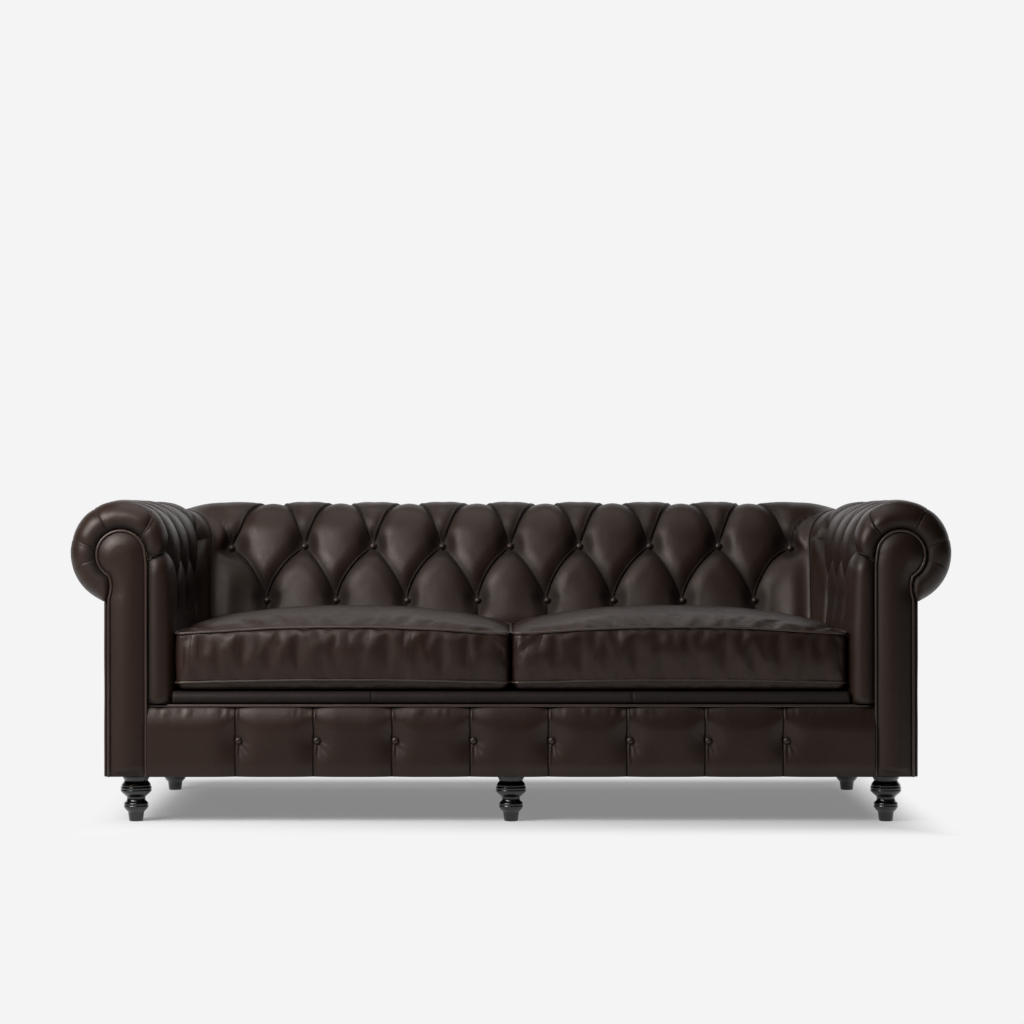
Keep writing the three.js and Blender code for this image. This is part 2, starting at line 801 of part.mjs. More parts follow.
// The scroll outline of the arm's front, drawn in by inset
function facingShape(inset, bottom, outerInset = inset) {
  const radius = facingHeadRadius - inset;
  const shape = new THREE.Shape();
  shape.moveTo(facingOuterX - outerInset, bottom);
  shape.lineTo(facingInnerX + inset, bottom);
  shape.lineTo(facingInnerX + inset, facingHeadZ - facingHeadRadius / 2);
  shape.quadraticCurveTo(
    facingInnerX + inset,
    facingHeadZ - facingHeadRadius / 4,
    facingHeadX - radius,
    facingHeadZ,
  );
  shape.absarc(facingHeadX, facingHeadZ, radius, Math.PI, facingHeadEnd, true);
  shape.quadraticCurveTo(
    facingNeckX - outerInset,
    facingNeckZ,
    facingOuterX - outerInset,
    facingShoulderZ,
  );
  shape.closePath();
  return shape;
}

const facingCurveSteps = 10;
const boardFrontY = frontY + facingPadThickness + fitGap;

// Stands a shape drawn in X and Z upright, with its front at one Y and its back at another
function upright(shape, front, back) {
  const geometry = new THREE.ExtrudeGeometry(shape, {
    depth: back - front,
    bevelEnabled: false,
    curveSegments: facingCurveSteps,
  });
  geometry.rotateX(Math.PI / 2);
  geometry.translate(0, back, 0);
  return geometry;
}

const facingBoard = upright(
  facingShape(boardInset, bodyBottom + fitGap, 0),
  boardFrontY + coverLip,
  boardRearY,
);
const facingPadInset = 2 * pipingRadius + pipingRoom;
const facingPad = upright(
  facingShape(facingPadInset, bodyBottom + fitGap),
  boardFrontY + coverLip - fitGap - facingPadThickness,
  boardFrontY + coverLip - fitGap,
);

// A round section of few sides for cords and wires
function roundSection(radius, sides) {
  const points = Array.from({ length: sides }, (unused, side) => {
    const angle = (side + 0.5) * 2 * Math.PI / sides;
    return new THREE.Vector2(radius * Math.cos(angle), radius * Math.sin(angle));
  });
  return new THREE.Shape(points);
}

const pipingSides = 5;
const facingPipingSteps = 44;

function facingPiping() {
  const y = boardFrontY + coverLip - fitGap - pipingRadius;
  const flat = facingShape(pipingRadius, bodyBottom + fitGap).getPoints(facingCurveSteps);
  const path = flat.slice(1, flat.length - 1).map((point) => new THREE.Vector3(point.x, y, point.y));
  path.push(new THREE.Vector3(facingOuterX - pipingRadius, y, bodyBottom + fitGap));
  const route = new THREE.CatmullRomCurve3(path);
  return new THREE.ExtrudeGeometry(roundSection(pipingRadius, pipingSides), {
    steps: facingPipingSteps,
    extrudePath: route,
    bevelEnabled: false,
  });
}

// Base frame
const frameOuterX = facingOuterX;
const railBottom = bodyBottom + dustCoverThickness + fitGap;
const frontRailFront = boardRearY + fitGap;
const frontRailBack = frontRailFront + railThickness;
const outsideBackY = rollY + outsideBackReach;
const rearRailBack = outsideBackY - fitGap;
const rearRailFront = rearRailBack - railThickness;
const footX = frameOuterX - footSideInset;
const frontFootY = frontY + frontFootInset;
const rearFootY = rearRailBack - rearFootInset;
const blockInnerX = frameOuterX - railThickness - fitGap - blockLength;
const blockTop = railBottom + blockHeight;

const frontRail = slab(-frameOuterX, frameOuterX, frontRailFront, frontRailBack, railBottom, railTop);
const rearRail = slab(-frameOuterX, frameOuterX, rearRailFront, rearRailBack, railBottom, sideRailTop);
const sideRail = slab(
  frameOuterX - railThickness,
  frameOuterX,
  frontRailBack + fitGap,
  rearRailFront - fitGap,
  railBottom,
  sideRailTop,
);

function boltHole(x, y) {
  const depth = boltLength + 2 * fitGap;
  const hole = new THREE.CylinderGeometry(boltRadius + fitGap, boltRadius + fitGap, 2 * depth, footSides);
  hole.rotateX(Math.PI / 2);
  hole.translate(x, y, bodyBottom + dustCoverThickness);
  return hole;
}

function cornerBlock(minY, maxY, footY) {
  const outerX = frameOuterX - railThickness - fitGap;
  return cut(slab(blockInnerX, outerX, minY, maxY, railBottom, blockTop), [boltHole(footX, footY)]);
}

const frontBlock = cornerBlock(frontRailBack + fitGap, frontRailBack + fitGap + blockLength, frontFootY);
const rearBlock = cornerBlock(rearRailFront - fitGap - blockLength, rearRailFront - fitGap, rearFootY);
const centreStretcher = cut(
  slab(
    -stretcherWidth / 2,
    stretcherWidth / 2,
    frontRailBack + fitGap,
    rearRailFront - fitGap,
    railBottom,
    blockTop,
  ),
  [boltHole(0, frontFootY), boltHole(0, rearFootY)],
);

// Posts, boards and the rail under the back padding
const postTop = rollZ - rollRailRadius * Math.cos(Math.PI / rollRailSides) - fitGap;
const postY = rollY - railThickness / 2;
const cornerPost = slab(
  frameOuterX - postWidth,
  frameOuterX,
  rearRailFront,
  rearRailBack,
  sideRailTop + fitGap,
  outsideTop,
);
const centrePost = slab(
  -postWidth / 2,
  postWidth / 2,
  postY,
  postY + centrePostThickness,
  sideRailTop + fitGap,
  postTop,
);
const armBoardX = rollX - armFaceInset + coreDepth;
const backBoardY = rollY - backFaceInset + coreDepth;
const seatBackRail = slab(
  -armBoardX + fitGap,
  armBoardX - fitGap,
  backBoardY,
  backBoardY + railThickness,
  railTop - seatBackRailHeight,
  railTop,
);
const boardBottom = blockTop + fitGap;
const armBoard = slab(
  armBoardX,
  armBoardX + boardThickness,
  boardRearY + railThickness + 2 * fitGap,
  backBoardY + boardThickness,
  boardBottom,
  rollZ - rollRailRadius - fitGap,
);

const backBoardLeanShare = 0.5;

// The back board leans like the padding in front of it
function backBoardGeometry() {
  const [lowOffset, lowZ] = coreOffsets(backSection, 1, 0);
  const [highOffset, highZ] = coreOffsets(backSection, 1 + backBoardLeanShare, 0);
  const outline = [
    [rollY + lowOffset, deckBottom],
    [rollY + lowOffset, lowZ],
    [rollY + highOffset, highZ],
    [rollY + highOffset + boardThickness, highZ],
    [rollY + lowOffset + boardThickness, lowZ],
    [rollY + lowOffset + boardThickness, deckBottom],
  ].map(([y, z]) => new THREE.Vector2(y, z));
  const width = 2 * (armBoardX - fitGap);
  const geometry = new THREE.ExtrudeGeometry(new THREE.Shape(outline), { depth: width, bevelEnabled: false });
  geometry.rotateX(Math.PI / 2);
  geometry.rotateZ(Math.PI / 2);
  geometry.translate(-width / 2, 0, 0);
  return geometry;
}

const outsideArm = slab(
  frameOuterX + fitGap,
  frameOuterX + fitGap + outsidePadThickness,
  boardFrontY + coverLip,
  outsideBackY + outsidePadThickness,
  bodyBottom,
  outsideTop,
);
const outsideBack = slab(
  -frameOuterX,
  frameOuterX,
  outsideBackY,
  outsideBackY + outsidePadThickness,
  bodyBottom,
  outsideTop,
);

// Zigzag seat springs from the front rail to the rail under the back, tied across
function springUnit() {
  const z = railTop + fitGap + springWire / 2;
  const startY = frontRailFront + railThickness / 2;
  const endY = backBoardY + railThickness - springWire;
  const springSpread = armBoardX - springEdge;
  const halfWaves = Math.floor((endY - startY) / springPitch);
  const pieces = [];
  for (let index = 0; index < springCount; index += 1) {
    const middle = mix(-springSpread, springSpread, index / (springCount - 1));
    const points = Array.from({ length: halfWaves + 1 }, (unused, step) => new THREE.Vector3(
      middle + (step % 2 === 0 ? -1 : 1) * springAmplitude / 2,
      mix(startY, endY, step / halfWaves),
      z,
    ));
    pieces.push(wire(points, springWire));
  }
  for (let tie = 1; tie <= tieWireCount; tie += 1) {
    const y = mix(startY, endY, tie / (tieWireCount + 1));
    const reach = springSpread + springAmplitude;
    const half = springWire / 2;
    pieces.push(slab(-reach, reach, y - half, y + half, z - half, z + half));
  }
  return joined(pieces);
}

// A flat-sided wire through points that lie at one height
function wire(points, thickness) {
  const half = thickness / 2;
  const loops = points.map((point) => [[-half, -half], [half, -half], [half, half], [-half, half]].map(
    ([across, up]) => new THREE.Vector3(point.x + across, point.y, point.z + up)));
  return loft(loops, squareCap);
}

// The deck that the cushions lie on, with its rear corners rounded like the padding
function seatDeck() {
  const halfWidth = rollX - armFaceInset - fitGap;
  const front = frontRailBack + fitGap - clothInset;
  const rear = rollY - backFaceInset - fitGap;
  const radius = innerCornerRadius;
  const shape = new THREE.Shape();
  shape.moveTo(-halfWidth, front);
  shape.lineTo(halfWidth, front);
  shape.lineTo(halfWidth, rear - radius);
  shape.absarc(halfWidth - radius, rear - radius, radius, 0, Math.PI / 2, false);
  shape.lineTo(radius - halfWidth, rear);
  shape.absarc(radius - halfWidth, rear - radius, radius, Math.PI / 2, Math.PI, false);
  shape.closePath();
  const geometry = new THREE.ExtrudeGeometry(shape, {
    depth: deckThickness - 2 * fitGap,
    bevelEnabled: false,
    curveSegments: 5,
  });
  geometry.translate(0, 0, deckBottom);
  return geometry;
}

const borderTop = railTop + borderRise;
const lipRoundShare = 0.3;

// The rolled lip along the front of the seat, in section from its rear bottom edge
function seatLip() {
  const base = borderTop + 2 * pipingRadius + fitGap;
  const rear = frontRailBack - clothInset;
  const front = frontY + fitGap;
  const middle = (base + deckTop) / 2;
  const depth = (deckTop - base) / 2;
  const rounding = depth * lipRoundShare;
  const outline = [
    [rear, deckBottom],
    [frontRailFront, deckBottom],
    [frontRailFront, base],
    [front + depth, base],
    [front + rounding, base + rounding],
    [front, middle],
    [front + rounding, deckTop - rounding],
    [front + depth, deckTop],
    [rear, deckTop],
  ].map(([y, z]) => new THREE.Vector2(y, z));
  const width = 2 * (rollX - armFaceInset - fitGap);
  const geometry = new THREE.ExtrudeGeometry(new THREE.Shape(outline), { depth: width, bevelEnabled: false });
  geometry.rotateX(Math.PI / 2);
  geometry.rotateZ(Math.PI / 2);
  geometry.translate(-width / 2, 0, 0);
  return geometry;
}

// Front border: nine padded panels between stitched seams, with a button on each seam
const borderBackY = frontRailFront - fitGap - tieThickness - fitGap;
const borderHalfWidth = facingInnerX - fitGap;
const borderPitch = 2 * (borderHalfWidth - borderEndPanel) / (borderButtons - 1);
const borderButtonZ = bodyBottom + borderButtonRise;
const borderRowShare = 0.6;
const borderSeams = Array.from({ length: borderButtons }, (unused, index) => (
  (index - (borderButtons - 1) / 2) * borderPitch));

function borderFront(x, z) {
  const fromSeam = Math.min(...borderSeams.map((seam) => Math.abs(x - seam)));
  const fromButton = Math.min(...borderSeams.map((seam) => Math.hypot(x - seam, z - borderButtonZ)));
  const rise = Math.sin(Math.min(1, fromSeam / (borderPitch / 4)) * Math.PI / 2);
  const dimple = borderRelief * Math.exp(-((fromButton / (borderPitch / 5)) ** 2));
  const nearTop = Math.exp(-(((borderTop - z) / borderPadding) ** 2));
  const nearBottom = Math.exp(-(((z - bodyBottom) / borderPadding) ** 2));
  const edge = borderSeamDepth * (nearTop + nearBottom);
  return borderBackY - borderPadding + borderSeamDepth * (1 - rise) + dimple + edge;
}

function frontBorder() {
  const columns = [-borderHalfWidth, ...borderSeams, borderHalfWidth].flatMap((edge, index, edges) => {
    const next = edges[index + 1];
    return next === undefined ? [edge] : [0, 1, 2].map((step) => mix(edge, next, step / 3));
  });
  const rows = [
    bodyBottom,
    bodyBottom + borderPadding,
    mix(bodyBottom, borderButtonZ, borderRowShare),
    borderButtonZ,
    mix(borderTop, borderButtonZ, borderRowShare),
    borderTop - borderPadding,
    borderTop,
  ];
  const loops = columns.map((x) => [
    ...rows.map((z) => new THREE.Vector3(x, borderFront(x, z), z)),
    new THREE.Vector3(x, borderBackY, borderTop),
    new THREE.Vector3(x, borderBackY, bodyBottom),
  ]);
  const cap = stripCap(rows, [rows[0], rows[rows.length - 1]]);
  const holes = borderSeams.map((x) => {
    const half = shankWidth / 2 + holeClearance;
    const front = borderBackY - 2 * borderPadding;
    return slab(x - half, x + half, front, frontRailFront, borderButtonZ - half, borderButtonZ + half);
  });
  return cut(loft(loops, cap), holes);
}

function borderButtonRow() {
  const pieces = [];
  const lift = buttonHeight / 2;
  for (const x of borderSeams) {
    const here = new THREE.Vector3(x, borderFront(x, borderButtonZ) - lift, borderButtonZ);
    const out = new THREE.Vector3(0, -1, 0);
    pieces.push(standAt(turned(buttonShares, buttonRadius, buttonHeight, buttonSides), here, out));
    const half = shankWidth / 2;
    const rear = borderBackY + tieThickness;
    pieces.push(slab(x - half, x + half, here.y - half, rear, borderButtonZ - half, borderButtonZ + half));
  }
  const reach = borderSeams[borderButtons - 1] + tieWidth / 2;
  const tieBack = frontRailFront - fitGap;
  const low = borderButtonZ - tieWidth / 2;
  pieces.push(slab(-reach, reach, tieBack - tieThickness, tieBack, low, low + tieWidth));
  return joined(pieces);
}

function borderPiping() {
  const y = borderBackY - borderPadding + 2 * pipingRadius;
  const ends = [-1, 1].map((side) => new THREE.Vector3(side * borderHalfWidth, y, borderTop));
  const geometry = new THREE.ExtrudeGeometry(roundSection(pipingRadius - fitGap, pipingSides), {
    steps: 1,
    extrudePath: new THREE.LineCurve3(...ends),
    bevelEnabled: false,
  });
  geometry.computeBoundingBox();
  return geometry.translate(0, 0, borderTop + fitGap - geometry.boundingBox.min.z);
}

// Dust cover under the frame, cut round the feet
function dustCover() {
  const margin = fitGap + clothInset;
  const sheet = slab(
    -frameOuterX + margin,
    frameOuterX - margin,
    frontRailFront + margin,
    rearRailBack - margin,
    bodyBottom,
    bodyBottom + dustCoverThickness,
  );
  const places = [frontFootY, rearFootY].flatMap((y) => [-footX, 0, footX].map((x) => [x, y]));
  const openings = places.map(([x, y]) => {
    const opening = new THREE.CylinderGeometry(footRadius, footRadius, footHeight, openingSides);
    opening.rotateX(Math.PI / 2);
    opening.translate(x, y, bodyBottom);
    return opening;
  });
  return cut(sheet, openings);
}

// Loose seat cushions. An outline runs round the plan from the middle outward, and levels of
// it rise from the sagging underside past the two pipings to the crown.
const cushionDetail = { cornerSteps: 4, edgeSteps: 5 };
const coreDetail = { cornerSteps: 2, edgeSteps: 2 };

function cushionPlan(side, inset, { cornerSteps, edgeSteps }) {
  const minX = cushionMiddleGap + inset;
  const maxX = rollX - armFaceInset - cushionSideGap - inset;
  const minY = cushionFrontY + inset;
  const maxY = cushionRearY - inset;
  const small = cushionCornerRadius - inset;
  const large = cushionRearCornerRadius - inset;
  const corners = [
    [maxX - small, minY + small, small, -Math.PI / 2],
    [maxX - large, maxY - large, large, 0],
    [minX + small, maxY - small, small, Math.PI / 2],
    [minX + small, minY + small, small, Math.PI],
  ];
  const outline = [];
  corners.forEach(([x, y, radius, start], index) => {
    for (let step = 0; step <= cornerSteps; step += 1) {
      const angle = start + (step / cornerSteps) * Math.PI / 2;
      outline.push([x + radius * Math.cos(angle), y + radius * Math.sin(angle)]);
    }
    const [nextX, nextY, nextRadius, nextStart] = corners[(index + 1) % corners.length];
    const from = outline[outline.length - 1];
    const to = [nextX + nextRadius * Math.cos(nextStart), nextY + nextRadius * Math.sin(nextStart)];
    for (let step = 1; step < edgeSteps; step += 1) {
      outline.push([mix(from[0], to[0], step / edgeSteps), mix(from[1], to[1], step / edgeSteps)]);
    }
  });
  return outline.map(([x, y]) => [side * x, y]);
}

const cushionMiddleX = (cushionMiddleGap + rollX - armFaceInset - cushionSideGap) / 2;
const cushionMiddleY = (cushionFrontY + cushionRearY) / 2;
const cushionHalfX = cushionMiddleX - cushionMiddleGap;
const cushionHalfY = cushionRearY - cushionMiddleY;
const underFullnessShare = 1.6;
const cushionEndShare = 0.98;

// How full a cushion is at a place: 1 in the middle, 0 at its corners
function fullness(x, y) {
  const across = Math.min(1, Math.abs((Math.abs(x) - cushionMiddleX) / cushionHalfX));
  const along = Math.min(1, Math.abs((y - cushionMiddleY) / cushionHalfY));
  return [(1 - across ** 3) * (1 - along ** 3), 1 - across ** 4 * along ** 4, across];
}

// Levels as a share of the plan, and a share of the way from one piping to the other
const cushionLevelShares = [
  ['under', 0.02], ['under', 0.75], ['under', 0.94], ['piping', 0, 1], ['piping', 0, 2], ['side', 0.5],
  ['piping', 1, 2], ['piping', 1, 1], ['over', 0.94], ['over', 0.75], ['over', 0.4], ['over', 0.02],
];

function cushionLoop(side, inset, detail, [kind, share, edge]) {
  return cushionPlan(side, inset, detail).map(([planX, planY]) => {
    const grow = kind === 'under' || kind === 'over' ? share : 1;
    const x = mix(side * cushionMiddleX, planX, grow);
    const y = mix(cushionMiddleY, planY, grow);
    const [crown, edgeFullness, across] = fullness(x, y);
    const arch = cushionArch * (1 - across ** 2) * edgeFullness;
    const top = cushionSideTop + arch - inset;
    const bottom = cushionSideBottom + inset;
    if (kind === 'over') {
      return new THREE.Vector3(x, y, top + cushionCrown * crown);
    }
    if (kind === 'under') {
      return new THREE.Vector3(x, y, bottom - cushionSag * Math.min(1, underFullnessShare * crown));
    }
    const outY = Math.sign(y - cushionMiddleY);
    const nearSide = Math.abs((Math.abs(x) - cushionMiddleX) / cushionHalfX) > cushionEndShare;
    const rearward = y > cushionMiddleY;
    if (kind === 'side') {
      const swell = inset > 0 || rearward ? 0 : cushionSwell * (1 - across ** 4);
      return new THREE.Vector3(x, y + outY * swell, mix(bottom, top, share));
    }
    const proud = inset > 0 || edge === 2 || rearward || nearSide ? 0 : cushionPiping / 2;
    const level = mix(bottom, top, share) + (share > 0.5 ? -1 : 1) * (edge === 2 ? cushionPiping : 0);
    return new THREE.Vector3(x, y + outY * proud, level);
  });
}

function cushionSolid(side) {
  const loops = cushionLevelShares.map((level) => cushionLoop(side, 0, cushionDetail, level));
  return loft(loops, fanCap(loops[0].length));
}

const coreLevelShares = [
  ['under', 0.02], ['under', 0.75], ['piping', 0, 1], ['piping', 1, 1], ['over', 0.75], ['over', 0.02],
];

// The plain inside of a cushion, drawn in all round by inset
function cushionCore(side, inset) {
  const loops = coreLevelShares.map((level) => cushionLoop(side, inset, coreDetail, level));
  return loft(loops, fanCap(loops[0].length));
}

// The zip runs along the straight part of the cushion's rear
const zipInnerX = cushionMiddleGap + cushionCornerRadius + zipEndGap;
const zipOuterX = cushionMiddleX + cushionHalfX - cushionRearCornerRadius - zipEndGap;
const zipLength = zipOuterX - zipInnerX;
const zipMiddleX = (zipInnerX + zipOuterX) / 2;
const zipZ = (cushionSideBottom + cushionSideTop) / 2;

function zipBox(side, length, height, front, rear) {
  const middle = side * zipMiddleX;
  return slab(middle - length / 2, middle + length / 2, front, rear, zipZ - height / 2, zipZ + height / 2);
}

// The foam inside is the cushion's hollow, less a small gap all round
function cushionFoam(side) {
  const geometry = cushionCore(side, cushionShell);
  geometry.computeBoundingBox();
  const size = geometry.boundingBox.getSize(new THREE.Vector3());
  const middle = geometry.boundingBox.getCenter(new THREE.Vector3());
  geometry.translate(-middle.x, -middle.y, -middle.z);
  geometry.scale(1 - 2 * fitGap / size.x, 1 - 2 * fitGap / size.y, 1 - 2 * fitGap / size.z);
  return geometry.translate(middle.x, middle.y, middle.z);
}

function cushionCover(side) {
  const hollow = cushionCore(side, cushionShell);
  const slot = zipBox(side, zipLength, zipHeight, cushionRearY - 2 * cushionShell, cushionRearY + cushionShell);
  return cut(cushionSolid(side), [hollow, slot]);
}

function cushionZip(side) {
  const length = zipLength - 2 * fitGap;
  const tape = zipBox(side, length, zipHeight - 2 * fitGap, cushionRearY - cushionShell, cushionRearY);
  const teeth = zipBox(side, length, zipRib, cushionRearY - cushionShell / 2, cushionRearY + zipRibHeight);
  return joined([tape, teeth]);
}

// The slider rides over the teeth, with its pull hanging below
function zipSlider(side) {
  const start = side * zipMiddleX - zipLength / 2 + sliderLength;
  const rear = cushionRearY + fitGap + zipRibHeight + sliderThickness / 2;
  const front = cushionRearY + fitGap;
  const body = slab(start, start + sliderLength, front, rear, zipZ - sliderWidth / 2, zipZ + sliderWidth / 2);
  const middle = start + sliderLength / 2;
  const pull = slab(
    middle - zipPullWidth / 2,
    middle + zipPullWidth / 2,
    rear - sliderThickness / 2,
    rear,
    zipZ - sliderWidth / 2 - zipPullLength,
    zipZ - sliderWidth / 4,
  );
  const channel = slab(
    start - sliderLength,
    start + 2 * sliderLength,
    front - fitGap,
    cushionRearY + zipRibHeight + fitGap,
    zipZ - zipRib / 2 - fitGap,
    zipZ + zipRib / 2 + fitGap,
  );
  return cut(joined([body, pull]), [channel]);
}

// Turned feet with a hanger bolt, as shares of the foot's radius and height
const footProfileShares = [
  [0, 0], [0.47, 0], [0.51, 0.21], [0.76, 0.26], [0.76, 0.35], [0.57, 0.5],
  [0.93, 0.61], [1, 0.69], [0.88, 0.8], [0.74, 0.9], [0.74, 1],
];

function foot() {
  const points = footProfileShares.map(([across, up]) => (
    new THREE.Vector2(across * footRadius, up * footHeight)));
  points.push(new THREE.Vector2(boltRadius, footHeight));
  points.push(new THREE.Vector2(boltRadius, footHeight + boltLength));
  points.push(new THREE.Vector2(0, footHeight + boltLength));
  const geometry = new THREE.LatheGeometry(points, footSides);
  geometry.rotateX(Math.PI / 2);
  return geometry;
}

// The finished sofa
const sofa = new THREE.Group();

function finish(colour, roughness, metalness) {
  return new THREE.MeshStandardMaterial({ color: colour, roughness, metalness });
}

function add(parent, name, geometry, colour, roughness = 0.5, metalness = 0) {
  const mesh = new THREE.Mesh(geometry, finish(colour, roughness, metalness));
  mesh.name = name;
  parent.add(mesh);
  return mesh;
}

function addPair(name, geometry, colour, roughness, metalness) {
  add(sofa, `${name}_right`, geometry, colour, roughness, metalness);
  add(sofa, `${name}_left`, mirrored(geometry), colour, roughness, metalness);
}

add(sofa, 'front_rail', frontRail, timberColour, 0.8);
add(sofa, 'rear_rail', rearRail, timberColour, 0.8);
addPair('side_rail', sideRail, timberColour, 0.8);
add(sofa, 'centre_stretcher', centreStretcher, timberColour, 0.8);
addPair('front_corner_block', frontBlock, timberColour, 0.8);
addPair('rear_corner_block', rearBlock, timberColour, 0.8);
addPair('arm_facing_board', facingBoard, plyColour, 0.8);
addPair('arm_inner_board', armBoard, plyColour, 0.8);
addPair('arm_roll_rail', armRollRail, timberColour, 0.8);
addPair('back_post', cornerPost, timberColour, 0.8);
add(sofa, 'back_centre_post', centrePost, timberColour, 0.8);
add(sofa, 'back_roll_rail', backRollRail, timberColour, 0.8);
add(sofa, 'back_board', backBoardGeometry(), plyColour, 0.8);
add(sofa, 'seat_back_rail', seatBackRail, timberColour, 0.8);
add(sofa, 'seat_springs', springUnit(), steelColour, 0.4, 0.9);
add(sofa, 'seat_deck', seatDeck(), clothColour, 0.9);
add(sofa, 'dust_cover', dustCover(), clothColour, 0.95);
add(sofa, 'back_foam', backFoam, foamColour, 0.95);
addPair('arm_foam', armFoam, foamColour, 0.95);
add(sofa, 'back_cover', backCover, leatherColour);
addPair('arm_cover', armCover, leatherColour);
add(sofa, 'outside_back_cover', outsideBack, leatherColour);
addPair('outside_arm_cover', outsideArm, leatherColour);
addPair('arm_facing_pad', facingPad, leatherColour);
addPair('arm_facing_piping', facingPiping(), pipingColour);
add(sofa, 'front_border', frontBorder(), leatherColour);
add(sofa, 'front_border_piping', borderPiping(), pipingColour);
add(sofa, 'seat_lip', seatLip(), leatherColour);
add(sofa, 'back_buttons', backButtons, leatherColour, 0.45);
addPair('arm_buttons', armButtons, leatherColour, 0.45);
add(sofa, 'front_border_buttons', borderButtonRow(), leatherColour, 0.45);

for (const [name, side] of [['right', 1], ['left', -1]]) {
  add(sofa, `seat_cushion_cover_${name}`, cushionCover(side), leatherColour, 0.5);
  add(sofa, `seat_cushion_foam_${name}`, cushionFoam(side), foamColour, 0.95);
  add(sofa, `cushion_zip_${name}`, cushionZip(side), clothColour, 0.8);
  add(sofa, `zip_slider_${name}`, zipSlider(side), steelColour, 0.35, 0.9);
}

for (const [depthName, y] of [['front', frontFootY], ['rear', rearFootY]]) {
  for (const [sideName, x] of [['right', footX], ['centre', 0], ['left', -footX]]) {
    add(sofa, `foot_${depthName}_${sideName}`, foot(), lacquerColour, 0.25).position.set(x, y, 0);
  }
}

export default sofa;
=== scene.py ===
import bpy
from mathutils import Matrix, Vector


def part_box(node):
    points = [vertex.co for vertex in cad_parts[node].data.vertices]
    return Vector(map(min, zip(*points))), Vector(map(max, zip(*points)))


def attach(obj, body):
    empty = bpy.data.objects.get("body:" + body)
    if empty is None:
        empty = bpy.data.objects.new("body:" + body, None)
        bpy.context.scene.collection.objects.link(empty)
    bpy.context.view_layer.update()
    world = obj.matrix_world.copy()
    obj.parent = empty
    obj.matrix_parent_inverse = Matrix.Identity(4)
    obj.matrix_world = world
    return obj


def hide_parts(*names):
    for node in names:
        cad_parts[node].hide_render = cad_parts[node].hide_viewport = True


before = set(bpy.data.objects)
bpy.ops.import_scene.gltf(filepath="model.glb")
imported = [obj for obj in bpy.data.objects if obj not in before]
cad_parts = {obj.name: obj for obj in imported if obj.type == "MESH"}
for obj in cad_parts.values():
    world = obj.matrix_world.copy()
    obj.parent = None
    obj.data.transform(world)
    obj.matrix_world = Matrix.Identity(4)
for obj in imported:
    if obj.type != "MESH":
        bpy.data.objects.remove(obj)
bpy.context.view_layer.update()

import math
import bmesh
import bpy
from mathutils import Matrix, Vector, noise

scene = bpy.context.scene
scene.view_settings.view_transform = "Standard"
print("frame loaded:", len(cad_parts), "nodes")


# node helpers

def addNode(tree, kind, **settings):
    node = tree.nodes.new(kind)
    for name, value in settings.items():
        setattr(node, name, value)
    return node


def put(tree, value, socket):  # a socket is linked, anything else is set
    if isinstance(value, bpy.types.NodeSocket):
        tree.links.new(value, socket)
    else:
        socket.default_value = value


def maths(tree, operation, first, second=0.0, clamp=False):
    node = addNode(tree, "ShaderNodeMath", operation=operation, use_clamp=clamp)
    put(tree, first, node.inputs[0])
    put(tree, second, node.inputs[1])
    return node.outputs[0]


def mixColour(tree, factor, first, second):
    node = addNode(tree, "ShaderNodeMix", data_type="RGBA")
    put(tree, factor, node.inputs["Factor"])
    put(tree, first, node.inputs[6])
    put(tree, second, node.inputs[7])
    return node.outputs[2]


def ranged(tree, value, low, high, toLow=0.0, toHigh=1.0, **settings):
    node = addNode(tree, "ShaderNodeMapRange", **settings)
    put(tree, value, node.inputs["Value"])
    for socket, number in zip(("From Min", "From Max", "To Min", "To Max"), (low, high, toLow, toHigh)):
        node.inputs[socket].default_value = number
    return node.outputs[0]


def startGroup(name, inputs, outputs):
    group = bpy.data.node_groups.new(name, "ShaderNodeTree")
    for socketName, kind, value in inputs:
        socket = group.interface.new_socket(socketName, in_out="INPUT", socket_type=kind)
        if value is not None:
            socket.default_value = value
    for socketName, kind in outputs:
        group.interface.new_socket(socketName, in_out="OUTPUT", socket_type=kind)
    return group, group.nodes.new("NodeGroupInput").outputs, group.nodes.new("NodeGroupOutput").inputs


def useGroup(tree, group, **values):
    node = addNode(tree, "ShaderNodeGroup", node_tree=group)
    for name, value in values.items():
        put(tree, value, node.inputs[name.replace("_", " ")])
    return node.outputs


def makeMaterial(name):
    material = bpy.data.materials.new(name)
    material.use_nodes = True
    tree = material.node_tree
    shader = tree.nodes["Principled BSDF"]
    return material, tree, shader


def blended(tree, factor, first, second):
    node = addNode(tree, "ShaderNodeMixShader")
    for source, socket in zip((factor, first, second), node.inputs):
        tree.links.new(source, socket)
    return node.outputs[0]


def bumped(tree, height, distance, strength=1.0, normal=None):
    node = addNode(tree, "ShaderNodeBump")
    node.inputs["Strength"].default_value = strength
    node.inputs["Distance"].default_value = distance
    put(tree, height, node.inputs["Height"])
    if normal is not None:
        put(tree, normal, node.inputs["Normal"])
    return node.outputs[0]


def objectPlace(tree):
    return addNode(tree, "ShaderNodeTexCoord").outputs["Object"]


def texture(tree, kind, place, **values):
    node = addNode(tree, kind)
    put(tree, place, node.inputs["Vector"])
    for name, value in values.items():
        put(tree, value, node.inputs[name])
    return node.outputs[0]


colour = "NodeSocketColor"
number = "NodeSocketFloat"
noiseTexture = "ShaderNodeTexNoise"
cellTexture = "ShaderNodeTexVoronoi"


# shared effects

